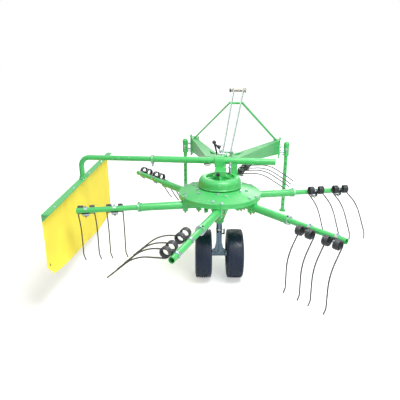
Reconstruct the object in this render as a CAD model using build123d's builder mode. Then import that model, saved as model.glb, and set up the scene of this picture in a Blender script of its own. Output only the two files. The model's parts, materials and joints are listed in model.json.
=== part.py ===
"""Single-rotor hay rake for a tractor's three-point hitch, parked on its wheels and two stands.

Millimetres. +Y is the way it travels, +X its right, +Z up, with the ground at zero. The rotor
unit, wheels and curtain face +Y, and the headstock stands turned on its swivel pin.
"""
from build123d import *

import os
from math import cos, radians, sin, tan

os.makedirs("parts", exist_ok=True)

# ---- where the machine stands, measured from the middle of its footprint ----
rotor_x = 27.4
rotor_y = -298.0

# ---- fits and seats ----
run_fit = 0.05
slide_fit = 0.1
seat_gap = 0.3

# ---- rotor arms ----
arm_count = 6
first_arm_angle = 189.2
arm_offset = 64.0
arm_height = 550.0
arm_tip = 900.0
arm_inner_end = 88.0
arm_tube_radius = 16.85
arm_tube_wall = 3.2
sleeve_radius = 24.15
sleeve_start = 112.0
sleeve_end = 515.0
clamp_ring_length = 14.0
clamp_ring_wall = 4.0
crank_thickness = 10.0
crank_reach = 46.0
crank_width = 24.0
crank_boss_wall = 4.0
roller_radius = 15.0
roller_length = 14.0
rest_roll = (0.0, 49.0, 0.0, 42.0, 62.0, 33.0)

# ---- spring tines, drawn across the arm with the tines down ----
tine_pairs = (672.0, 845.0)
wire_radius = 4.0
coil_wall = 9.0
coil_edge = 0.5
turn_notch = 2.0
coil_radius = 24.5
coil_turns = 5
coil_pitch = 7.9
coil_spread = 34.0
coil_reach = 47.0
coil_angle = -15.0
leg_start_angle = -55.0
leg_upper = 160.0
leg_end_angle = -91.0
leg_lower = 194.0
leg_bend_radius = 90.0
tip_length = 42.0
tip_lean = 17.0
tip_bend_radius = 30.0
saddle_width = 22.0
saddle_depth = 30.0

# ---- rotor disc ----
disc_radius = 263.0
disc_rim_top = 607.0
disc_rim_height = 29.0
disc_thickness = 6.0
disc_inner_top = 640.0
disc_inner_radius = 138.0
hub_radius = 66.0
bracket_width = 30.0
bracket_margin = 8.0
bracket_radii = (150.0, 235.0)

# ---- fixed gearbox dome and neck ----
spindle_radius = 45.0
dome_radius = 135.0
dome_base = 645.3
dome_top = 708.0
dome_shoulder = 30.0
dome_lip = 14.0
recess_floor = 690.0
neck_radius = 46.0
neck_top = 716.0
rib_count = 6
rib_thickness = 8.0
rib_sink = 1.0
rib_drop = 6.0
input_radius = 28.0
input_root = 115.0
input_height = 677.0
input_end = 205.0
shaft_radius = 17.4
shaft_length = 75.0

# ---- hub cone and wheel leg ----
cone_top = 545.0
cone_radius = 72.0
cone_neck_radius = 30.0
cone_bottom = 395.0
cone_neck_length = 14.0
cone_rim_height = 22.0
leg_radius = 19.0
leg_plate_thickness = 8.0
leg_plate_depth = 60.0
leg_plate_top = 340.0
leg_overlap = 20.0
gusset_width = 110.0
gusset_height = 70.0

# ---- wheels ----
tyre_radius = 165.0
tyre_width = 110.0
tyre_shoulder = 22.0
tread_groove = 4.0
tread_groove_width = 5.0
tread_groove_places = (-26.0, 0.0, 26.0)
wheel_track = 209.0
rim_radius = 76.0
rim_width = 84.0
rim_wall = 4.0
bead_height = 8.0
wall_height = 26.0
shoulder_drop = 5.0
shoulder_share = 0.4
hub_inset = 6.0
stub_inset = 14.0
wheel_hub_radius = 26.0
stub_radius = 12.7
axle_radius = 17.0
hub_end_gap = 0.5
stub_nut_radius = 17.0
stub_nut_length = 12.0

# ---- curtain arm ----
boom_y = 95.0
boom_turn = 6.0
boom_z = 787.0
boom_radius = 21.2
boom_left = -455.0
boom_right = 362.0
boom_inner_radius = 16.85
boom_overlap = 260.0
boom_ring_length = 20.0
boom_ring_wall = 5.0
bracket_half_width = 30.0
bracket_wall = 12.0
post_x = 96.0
post_width = 40.0
post_depth = 34.0
post_sink = 22.0
bar_turn = 2.0
bar_set_out = 23.0
bar_near_end = -695.0
bar_far_end = 800.0
curtain_near_drop = 375.0
curtain_drop = 537.0
curtain_level_from = 350.0
curtain_top = 637.0
cloth_thickness = 3.0
bar_flange = 42.0
bar_thickness = 4.0
elbow_radius = 60.0
elbow_x = -938.0
socket_wall = 4.0
socket_length = 18.0

# ---- swivel and headstock, measured from the swivel pin along the headstock ----
swivel_x = 20.0
swivel_y = 230.0
head_turn = 9.2
swivel_pin_radius = 15.0
swivel_tube_radius = 32.0
swivel_tube_bottom = 732.0
swivel_tube_top = 782.0
lug_thickness = 12.0
carrier_half_width = 38.0
carrier_height = 34.0
carrier_relief = 40.0
fork_web = 16.0
pin_tail = 8.0
pin_head_height = 10.0
pin_head_wall = 8.0
hitch_reach = 1130.0
beam_root_reach = 62.0
beam_root_inner = 4.0
beam_root_outer = 118.0
beam_root_top = 764.0
beam_root_bottom = 720.0
plate_face = 415.0
plate_thickness = 12.0
plate_top = 690.0
plate_bottom = 527.0
plate_depth = 110.0
beam_end_width = 52.0
beam_end_bottom = 565.0
pocket_floor = 735.0
beam_pocket = ((58.0, 178.0), (100.0, 178.0), (128.0, 330.0))
stand_spread = 475.0
stand_sleeve_radius = 24.15
stand_sleeve_top = 650.0
stand_sleeve_bottom = 545.0
stand_leg_radius = 17.0
stand_foot_radius = 32.0
stand_foot_thickness = 8.0
hitch_pin_radius = 11.0
lock_pin_radius = 6.0
pin_bite = 2.0
hitch_pin_heights = (630.0, 580.0)
lock_pin_height = 556.0

# ---- mast ----
mast_set_back = 40.0
mast_shift = 22.0
mast_apex_share = 0.756
mast_apex_half = 54.0
mast_foot_half = 390.0
mast_foot_sink = 12.0
mast_bar_width = 40.0
mast_bar_thickness = 12.0
top_pin_height = 1130.0
top_pin_radius = 12.5
stay_spread = 43.0
stay_foot_spread = 27.0
stay_foot_reach = 120.0
stay_foot_rise = 22.0
stay_width = 30.0
stay_thickness = 8.0
stay_end = 18.0
mast_cross_radius = 9.0
mast_cross_half = 63.0
top_pin_half = 68.0
clevis_pin_radius = 8.0
clevis_wall = 7.0
clevis_pin_end = 8.0
clevis_depth = 34.0
clevis_rise = 14.0

# ---- small levers ----
lever_side = 34.0
lever_reach = 100.0
lever_shift = 32.0
lever_height = 856.0
lever_radius = 6.0
knob_radius = 14.0
lever_sink = 20.0
lever_tilt = 10.0
hook_height = 310.0
hook_reach = 14.0
hook_rise = 34.0
hook_radius = 5.0


def spot(x, y, z):
    """A point given from the rotor's axis on the ground."""
    return Vector(rotor_x + x, rotor_y + y, z)


def head(x, y, z):
    """A point given from the swivel pin along the turned headstock."""
    turn = radians(head_turn)
    across = x * cos(turn) + y * sin(turn)
    along = y * cos(turn) - x * sin(turn)
    return spot(swivel_x + across, swivel_y + along, z)


def boom(along, z):
    """A point along the turned boom, given from its bracket and rising to the right."""
    turn = radians(boom_turn)
    return spot(along * cos(turn), boom_y - along * sin(turn), z)


def bar(along, inward, z):
    """A point on the curtain's bar, given from the middle of the tube that carries it."""
    turn = radians(bar_turn)
    foot = boom(elbow_x, z)
    return foot + Vector(
        along * sin(turn) + inward * cos(turn), along * cos(turn) - inward * sin(turn), 0
    )


def head_plane(height):
    """A level plane at a height, turned with the headstock about the swivel pin."""
    return Plane(origin=head(0, 0, height), x_dir=head(1, 0, 0) - head(0, 0, 0), z_dir=(0, 0, 1))


def head_section(reach):
    """An upright plane across the headstock, a reach ahead of the pin, at ground height."""
    return Plane(
        origin=head(0, reach, 0),
        x_dir=head(1, 0, 0) - head(0, 0, 0),
        z_dir=head(0, -1, 0) - head(0, 0, 0),
    )


def arm_angle(index):
    """The direction of one rotor arm, in degrees."""
    return first_arm_angle + index * 360.0 / arm_count


def arm_point(index, reach, trail=0.0, rise=0.0):
    """A point on a rotor arm: reach along it, trail behind its axis, rise above it."""
    turn = radians(arm_angle(index))
    back = trail - arm_offset
    return spot(
        reach * cos(turn) + back * sin(turn),
        reach * sin(turn) - back * cos(turn),
        arm_height + rise,
    )


def arm_plane(index, reach, roll=0.0):
    """A plane across an arm that faces the rotor's axis: x trails, y rises, both rolled."""
    level = arm_point(index, reach, 1) - arm_point(index, reach)
    lift = radians(roll)
    return Plane(
        origin=arm_point(index, reach),
        x_dir=level * cos(lift) + Vector(0, 0, 1) * sin(lift),
        z_dir=arm_point(index, reach - 1) - arm_point(index, reach),
    )


def rod(start, end, radius, bore=0.0, mode=Mode.ADD):
    """Add or cut a round bar, or a tube, from one point to another."""
    run = Vector(end) - Vector(start)
    with BuildSketch(Plane(origin=start, z_dir=run)) as section:
        Circle(radius)
        if bore:
            Circle(bore, mode=Mode.SUBTRACT)
    extrude(section.sketch, amount=run.length, mode=mode)


def flat(start, end, across, width, thickness, mode=Mode.ADD):
    """Add or cut a flat bar from one point to another, its width along a given direction."""
    run = Vector(end) - Vector(start)
    with BuildSketch(Plane(origin=start, x_dir=across, z_dir=run)) as section:
        Rectangle(width, thickness)
    extrude(section.sketch, amount=run.length, mode=mode)


def bent_rod(points, bends, radius, bore=0.0):
    """Add a round bar or tube through points, with a tangent arc of each bend radius."""
    starts = [points[0]]
    ends = []
    for before, corner, after, bend in zip(points, points[1:], points[2:], bends):
        ahead = (corner - before).normalized()
        away = (after - corner).normalized()
        turn = ahead.get_angle(away)
        normal = ahead.cross(away).normalized()
        enter = corner - ahead * (bend * tan(radians(turn / 2)))
        with BuildSketch(Plane(origin=enter, z_dir=ahead)) as section:
            Circle(radius)
            if bore:
                Circle(bore, mode=Mode.SUBTRACT)
        centre = enter + normal.cross(ahead) * bend
        revolve(section.sketch, axis=Axis(centre, normal), revolution_arc=turn)
        starts.append(corner + away * (bend * tan(radians(turn / 2))))
        ends.append(enter)
    ends.append(points[-1])
    for start, end in zip(starts, ends):
        rod(start, end, radius, bore)


def save(piece, name):
    """Label one finished piece and write its STEP file."""
    piece.part.label = name
    export_step(piece.part, f"parts/{name}.step")


def polar(distance, angle):
    """A flat point at a distance and an angle in degrees."""
    return Vector(distance * cos(radians(angle)), distance * sin(radians(angle)))


# ---- gearbox dome: a casting with a rounded shoulder, a recessed top and ribs round its neck ----
lip_radius = dome_radius - dome_shoulder - dome_lip
with BuildPart() as gearbox_dome:
    with BuildSketch(Plane(origin=spot(0, 0, 0), x_dir=(1, 0, 0), z_dir=(0, -1, 0))) as dome_profile:
        with BuildLine():
            Polyline(
                (0, dome_base),
                (dome_radius, dome_base),
                (dome_radius, dome_top - dome_shoulder),
            )
            RadiusArc(
                (dome_radius, dome_top - dome_shoulder),
                (dome_radius - dome_shoulder, dome_top),
                -dome_shoulder,
            )
            Polyline(
                (dome_radius - dome_shoulder, dome_top),
                (lip_radius, dome_top),
                (lip_radius, recess_floor),
                (neck_radius, recess_floor),
                (neck_radius, neck_top),
                (0, neck_top),
                (0, dome_base),
            )
        make_face()
    revolve(axis=Axis(spot(0, 0, 0), (0, 0, 1)))
    for rib in range(rib_count):
        rib_turn = 360.0 / rib_count * (rib + 0.5)
        with BuildSketch(
            Plane(
                origin=spot(0, 0, 0),
                x_dir=(cos(radians(rib_turn)), sin(radians(rib_turn)), 0),
                z_dir=(sin(radians(rib_turn)), -cos(radians(rib_turn)), 0),
            )
        ):
            Polygon(
                (neck_radius - rib_sink, recess_floor - rib_sink),
                (lip_radius + rib_sink, recess_floor - rib_sink),
                (lip_radius + rib_sink, dome_top - rib_drop),
                (neck_radius - rib_sink, neck_top - rib_sink),
                align=None,
            )
        extrude(amount=rib_thickness / 2, both=True)
    rod(spot(0, input_root, input_height), spot(0, input_end, input_height), input_radius)
save(gearbox_dome, "gearbox_dome")

with BuildPart() as input_shaft:
    rod(
        spot(0, input_end, input_height),
        spot(0, input_end + shaft_length, input_height),
        shaft_radius,
    )
save(input_shaft, "input_shaft")

# ---- fixed hub: the spindle that the rotor turns on, and the cone below it ----
with BuildPart() as hub_cone:
    with BuildSketch(Plane(origin=spot(0, 0, 0), x_dir=(1, 0, 0), z_dir=(0, -1, 0))):
        with BuildLine():
            Polyline(
                (0, cone_bottom),
                (cone_neck_radius, cone_bottom),
                (cone_neck_radius, cone_bottom + cone_neck_length),
                (cone_radius, cone_top - cone_rim_height),
                (cone_radius, cone_top),
                (spindle_radius, cone_top),
                (spindle_radius, dome_base),
                (0, dome_base),
                (0, cone_bottom),
            )
        make_face()
    revolve(axis=Axis(spot(0, 0, 0), (0, 0, 1)))
save(hub_cone, "hub_cone")

# ---- wheel leg: a tube with a deep centre plate, spread at the foot onto the axle ----
axle_height = tyre_radius
with BuildPart() as wheel_leg:
    rod(spot(0, 0, leg_plate_top - leg_overlap), spot(0, 0, cone_bottom), leg_radius)
    flat(
        spot(0, 0, axle_height + axle_radius),
        spot(0, 0, leg_plate_top),
        (0, 1, 0),
        leg_plate_depth,
        leg_plate_thickness,
    )
    with BuildSketch(Plane(origin=spot(0, 0, 0), x_dir=(1, 0, 0), z_dir=(0, -1, 0))):
        Polygon(
            (-gusset_width / 2, axle_height + axle_radius),
            (gusset_width / 2, axle_height + axle_radius),
            (gusset_width / 4, axle_height + axle_radius + gusset_height / 3),
            (leg_radius, axle_height + axle_radius + gusset_height),
            (leg_radius, leg_plate_top),
            (-leg_radius, leg_plate_top),
            (-leg_radius, axle_height + axle_radius + gusset_height),
            (-gusset_width / 4, axle_height + axle_radius + gusset_height / 3),
            align=None,
        )
    extrude(amount=leg_plate_thickness / 2, both=True)
save(wheel_leg, "wheel_leg")

hub_inner_x = wheel_track / 2 - tyre_width / 2 + hub_inset
stub_end_x = wheel_track / 2 + tyre_width / 2 - stub_inset
with BuildPart() as axle:
    rod(spot(-hub_inner_x, 0, axle_height), spot(hub_inner_x, 0, axle_height), axle_radius)
    rod(spot(-stub_end_x, 0, axle_height), spot(stub_end_x, 0, axle_height), stub_radius)
    for side in (-1, 1):
        rod(
            spot(side * stub_end_x, 0, axle_height),
            spot(side * (stub_end_x - stub_nut_length), 0, axle_height),
            stub_nut_radius,
        )
save(axle, "axle")

# ---- wheels: two ribbed tyres on pressed rims that turn on the axle's stubs ----
hub_outer_x = stub_end_x - stub_nut_length - hub_end_gap
for side, word in ((-1, "left"), (1, "right")):
    wheel_plane = Plane(
        origin=spot(side * wheel_track / 2, 0, axle_height), x_dir=(0, 0, 1), z_dir=(0, -1, 0)
    )
    with BuildPart() as tyre:
        with BuildSketch(wheel_plane) as tyre_profile:
            with BuildLine():
                half = tyre_width / 2
                crown = tyre_radius - tyre_shoulder
                Polyline(
                    (rim_radius, -rim_width / 2),
                    (rim_radius + bead_height, -rim_width / 2),
                    (rim_radius + wall_height, -half),
                    (crown, -half),
                    (tyre_radius - shoulder_drop, -half + tyre_shoulder * shoulder_share),
                    (tyre_radius, -half + tyre_shoulder),
                    (tyre_radius, half - tyre_shoulder),
                    (tyre_radius - shoulder_drop, half - tyre_shoulder * shoulder_share),
                    (crown, half),
                    (rim_radius + wall_height, half),
                    (rim_radius + bead_height, rim_width / 2),
                    (rim_radius, rim_width / 2),
                    (rim_radius, -rim_width / 2),
                )
            make_face()
            for groove in tread_groove_places:
                with Locations((tyre_radius, groove)):
                    Rectangle(2 * tread_groove, tread_groove_width, mode=Mode.SUBTRACT)
        revolve(axis=Axis(spot(0, 0, axle_height), (1, 0, 0)))
    save(tyre, f"tyre_{word}")
    with BuildPart() as rim:
        hub_in = hub_inner_x + hub_end_gap - wheel_track / 2
        hub_out = hub_outer_x - wheel_track / 2
        with BuildSketch(wheel_plane):
            with Locations((rim_radius - rim_wall / 2, 0)):
                Rectangle(rim_wall, rim_width)
            with Locations(((rim_radius + wheel_hub_radius) / 2 - rim_wall / 4, 0)):
                Rectangle(rim_radius - wheel_hub_radius, rim_wall)
            with Locations(
                ((wheel_hub_radius + stub_radius + run_fit) / 2, -side * (hub_in + hub_out) / 2)
            ):
                Rectangle(wheel_hub_radius - stub_radius - run_fit, hub_out - hub_in)
        revolve(axis=Axis(spot(0, 0, axle_height), (1, 0, 0)))
    save(rim, f"rim_{word}")

# ---- rotor disc: a shallow dish with a turned-down rim, its hub and the sleeve brackets ----
hub_bottom = cone_top + seat_gap
with BuildPart() as rotor_disc:
    with BuildSketch(Plane(origin=spot(0, 0, 0), x_dir=(1, 0, 0), z_dir=(0, -1, 0))):
        with BuildLine():
            Polyline(
                (spindle_radius + run_fit, hub_bottom),
                (hub_radius, hub_bottom),
                (hub_radius, disc_inner_top - disc_thickness),
                (disc_inner_radius, disc_inner_top - disc_thickness),
                (disc_radius - disc_thickness, disc_rim_top - disc_thickness),
                (disc_radius - disc_thickness, disc_rim_top - disc_rim_height),
                (disc_radius, disc_rim_top - disc_rim_height),
                (disc_radius, disc_rim_top),
                (disc_inner_radius, disc_inner_top),
                (spindle_radius + run_fit, disc_inner_top),
                (spindle_radius + run_fit, hub_bottom),
            )
        make_face()
    revolve(axis=Axis(spot(0, 0, 0), (0, 0, 1)))
    disc_slope = (disc_inner_top - disc_rim_top) / (disc_radius - disc_inner_radius)
    for index in range(arm_count):
        for reach in bracket_radii:
            far = (reach**2 + arm_offset**2) ** 0.5
            top = disc_inner_top - disc_slope * max(far - disc_inner_radius, 0) - disc_thickness / 2
            flat(
                arm_point(index, reach, 0, -sleeve_radius - bracket_margin),
                arm_point(index, reach, 0, top - arm_height),
                arm_point(index, reach, 1) - arm_point(index, reach),
                2 * sleeve_radius + bracket_margin,
                bracket_width,
            )
            rod(
                arm_point(index, reach - bracket_width),
                arm_point(index, reach + bracket_width),
                sleeve_radius + run_fit,
                mode=Mode.SUBTRACT,
            )
save(rotor_disc, "rotor_disc")

# ---- rotor arms: a sleeve on the disc, a tube that rolls in it, and the tines on the tube ----
tube_bore = arm_tube_radius - arm_tube_wall
coil_offsets = [(turn - (coil_turns - 1) / 2) * coil_pitch for turn in range(coil_turns)]
leg_spread = coil_spread + coil_offsets[-1]
coil_centre = polar(coil_reach, coil_angle)
leg_top = coil_centre + polar(coil_radius, leg_start_angle - 90)
leg_knee = leg_top + polar(leg_upper, leg_start_angle)
leg_ankle = leg_knee + polar(leg_lower, leg_end_angle)
tip_run = polar(tip_length * cos(radians(tip_lean)), leg_end_angle)
leg_tip = leg_ankle + tip_run + Vector(0, 0, tip_length * sin(radians(tip_lean)))

for index in range(arm_count):
    number = index + 1
    with BuildPart() as arm_sleeve:
        rod(
            arm_point(index, sleeve_start),
            arm_point(index, sleeve_end),
            sleeve_radius,
            arm_tube_radius + run_fit,
        )
    save(arm_sleeve, f"arm_sleeve_{number}")

    with BuildPart() as arm_tube:
        rod(arm_point(index, arm_inner_end), arm_point(index, arm_tip), arm_tube_radius, tube_bore)
        rod(
            arm_point(index, sleeve_end + seat_gap),
            arm_point(index, sleeve_end + seat_gap + clamp_ring_length),
            sleeve_radius + clamp_ring_wall,
            tube_bore,
        )
        crank_plane = arm_plane(index, arm_inner_end, rest_roll[index])
        with BuildSketch(crank_plane):
            with Locations((0, -crank_reach / 2)):
                SlotOverall(crank_reach + crank_width, crank_width, rotation=90)
            Circle(arm_tube_radius + crank_boss_wall)
        extrude(amount=-crank_thickness)
        with BuildSketch(crank_plane.offset(-crank_thickness)):
            with Locations((0, -crank_reach)):
                Circle(roller_radius)
        extrude(amount=-roller_length)
    save(arm_tube, f"arm_tube_{number}")

    with BuildPart() as tines:
        for pair in tine_pairs:
            pair_plane = arm_plane(index, pair, rest_roll[index])
            for side in (-1, 1):
                coil_plane = arm_plane(index, pair + side * coil_spread, rest_roll[index])
                coil_section = Plane(
                    origin=coil_plane.from_local_coords(coil_centre),
                    x_dir=coil_plane.x_dir,
                    z_dir=-coil_plane.y_dir,
                )
                with BuildSketch(coil_section):
                    with Locations((coil_radius, 0)):
                        Rectangle(coil_wall, coil_turns * coil_pitch + 2 * coil_edge)
                    for offset in coil_offsets[1:]:
                        with Locations((coil_radius + coil_wall / 2, offset - coil_pitch / 2)):
                            Rectangle(turn_notch, turn_notch, rotation=45, mode=Mode.SUBTRACT)
                revolve(axis=Axis(coil_section.origin, coil_plane.z_dir))
                leg_plane = arm_plane(index, pair + side * leg_spread, rest_roll[index])
                bent_rod(
                    [
                        leg_plane.from_local_coords(point)
                        for point in (leg_top, leg_knee, leg_ankle, leg_tip)
                    ],
                    (leg_bend_radius, tip_bend_radius),
                    wire_radius,
                )
            inward = polar(coil_reach - coil_radius, coil_angle)
            rod(
                pair_plane.from_local_coords(inward + Vector(0, 0, -coil_spread)),
                pair_plane.from_local_coords(inward + Vector(0, 0, coil_spread)),
                wire_radius,
            )
            flat(
                pair_plane.from_local_coords(polar(arm_tube_radius + seat_gap, coil_angle)),
                pair_plane.from_local_coords(polar(coil_reach, coil_angle)),
                pair_plane.z_dir,
                saddle_width,
                saddle_depth,
            )
    save(tines, f"tines_{number}")

# ---- swivel carrier: a box on the neck that holds the upright swivel tube ahead of the dome ----
with BuildPart() as swivel_carrier:
    with BuildSketch(Plane(origin=spot(0, 0, neck_top), x_dir=(1, 0, 0), z_dir=(0, 0, 1))):
        Polygon(
            (-carrier_half_width, -neck_radius),
            (carrier_half_width, -neck_radius),
            (swivel_x + swivel_tube_radius, swivel_y),
            (swivel_x - swivel_tube_radius, swivel_y),
            align=None,
        )
    extrude(amount=carrier_height)
    rod(
        spot(swivel_x, swivel_y, neck_top),
        spot(swivel_x, swivel_y, swivel_tube_bottom),
        swivel_tube_radius + carrier_relief,
        mode=Mode.SUBTRACT,
    )
    rod(
        spot(swivel_x, swivel_y, swivel_tube_bottom),
        spot(swivel_x, swivel_y, swivel_tube_top),
        swivel_tube_radius,
    )
    rod(
        spot(swivel_x, swivel_y, swivel_tube_bottom),
        spot(swivel_x, swivel_y, swivel_tube_top),
        swivel_pin_radius + run_fit,
        mode=Mode.SUBTRACT,
    )
save(swivel_carrier, "swivel_carrier")

# ---- curtain boom: a bracket on the carrier and the outer tube that it clamps ----
carrier_top = neck_top + carrier_height
with BuildPart() as boom_bracket:
    bracket_half_depth = boom_radius + bracket_wall
    with BuildSketch(
        Plane(
            origin=boom(-bracket_half_width, 0),
            x_dir=(sin(radians(boom_turn)), cos(radians(boom_turn)), 0),
            z_dir=boom(1, 0) - boom(0, 0),
        )
    ):
        with Locations((0, (carrier_top + boom_z) / 2)):
            Rectangle(2 * bracket_half_depth, boom_z - carrier_top)
        with Locations((0, boom_z)):
            Circle(bracket_half_depth)
            Circle(boom_radius + run_fit, mode=Mode.SUBTRACT)
    extrude(amount=2 * bracket_half_width)
save(boom_bracket, "boom_bracket")

with BuildPart() as curtain_boom:
    rod(
        boom(boom_left, boom_z),
        boom(boom_right, boom_z),
        boom_radius,
        boom_inner_radius + slide_fit,
    )
    rod(
        boom(boom_left, boom_z),
        boom(boom_left + boom_ring_length, boom_z),
        boom_radius + boom_ring_wall,
        boom_inner_radius + slide_fit,
    )
save(curtain_boom, "curtain_boom")

# ---- post that carries the boom's right half on the dome ----
with BuildPart() as boom_post:
    with BuildSketch(Plane(origin=boom(post_x, dome_top - post_sink), z_dir=(0, 0, 1))):
        Rectangle(post_width, post_depth)
    extrude(amount=boom_z - dome_top + post_sink)
    rod(
        boom(0, boom_z),
        boom(boom_right, boom_z),
        boom_radius + run_fit,
        mode=Mode.SUBTRACT,
    )
    add(gearbox_dome.part, mode=Mode.SUBTRACT)
save(boom_post, "boom_post")

# ---- curtain: the bent tube that slides in the boom, the bar it carries and the cloth ----
with BuildPart() as curtain_tube:
    bent_rod(
        [
            boom(boom_left + boom_overlap, boom_z),
            boom(elbow_x, boom_z),
            boom(elbow_x, curtain_top),
        ],
        (elbow_radius,),
        boom_inner_radius,
        boom_inner_radius - arm_tube_wall,
    )
save(curtain_tube, "curtain_tube")

with BuildPart() as curtain_bar:
    with BuildSketch(
        Plane(
            origin=bar(bar_near_end, -bar_set_out, curtain_top),
            x_dir=bar(0, 1, 0) - bar(0, 0, 0),
            z_dir=bar(1, 0, 0) - bar(0, 0, 0),
        )
    ):
        Polygon(
            (0, 0),
            (bar_flange, 0),
            (bar_flange, bar_thickness),
            (bar_thickness, bar_thickness),
            (bar_thickness, bar_flange),
            (0, bar_flange),
            align=None,
        )
    extrude(amount=bar_far_end - bar_near_end)
    rod(
        boom(elbow_x, curtain_top),
        boom(elbow_x, curtain_top + socket_length),
        boom_inner_radius + socket_wall,
        boom_inner_radius + run_fit,
    )
save(curtain_bar, "curtain_bar")

with BuildPart() as curtain_cloth:
    with BuildSketch(
        Plane(
            origin=bar(0, -bar_set_out, curtain_top),
            x_dir=bar(1, 0, 0) - bar(0, 0, 0),
            z_dir=bar(0, -1, 0) - bar(0, 0, 0),
        )
    ):
        Polygon(
            (bar_near_end, 0),
            (bar_near_end, curtain_near_drop),
            (curtain_level_from, curtain_drop),
            (bar_far_end, curtain_drop),
            (bar_far_end, 0),
            align=None,
        )
    extrude(amount=cloth_thickness)
save(curtain_cloth, "curtain_cloth")

# ---- headstock: swivel fork, two tapered box beams, end plates ----
mast_reach = hitch_reach - mast_set_back
stay_foot_height = beam_root_top + stay_foot_rise
mast_apex_reach = stay_foot_reach + (mast_reach - stay_foot_reach) * mast_apex_share
mast_apex_height = stay_foot_height + (top_pin_height - stay_foot_height) * mast_apex_share
with BuildPart() as swivel_fork:
    for low in (
        swivel_tube_top + seat_gap,
        swivel_tube_bottom - seat_gap - lug_thickness,
    ):
        with BuildSketch(head_plane(low)):
            Circle(swivel_tube_radius)
            with Locations((0, beam_root_reach / 2)):
                Rectangle(2 * swivel_tube_radius, beam_root_reach)
            Circle(swivel_pin_radius, mode=Mode.SUBTRACT)
        extrude(amount=lug_thickness)
    with BuildSketch(head_plane(beam_root_bottom)):
        with Locations((0, beam_root_reach - fork_web / 2)):
            Rectangle(2 * swivel_tube_radius, fork_web)
    extrude(amount=swivel_tube_top + seat_gap + lug_thickness - beam_root_bottom)
save(swivel_fork, "swivel_fork")

with BuildPart() as swivel_pin:
    rod(
        head(0, 0, swivel_tube_bottom - seat_gap - lug_thickness - pin_tail),
        head(0, 0, swivel_tube_top + seat_gap + lug_thickness + pin_head_height),
        swivel_pin_radius,
    )
    rod(
        head(0, 0, swivel_tube_top + seat_gap + lug_thickness),
        head(0, 0, swivel_tube_top + seat_gap + lug_thickness + pin_head_height),
        swivel_pin_radius + pin_head_wall,
    )
save(swivel_pin, "swivel_pin")

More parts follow.
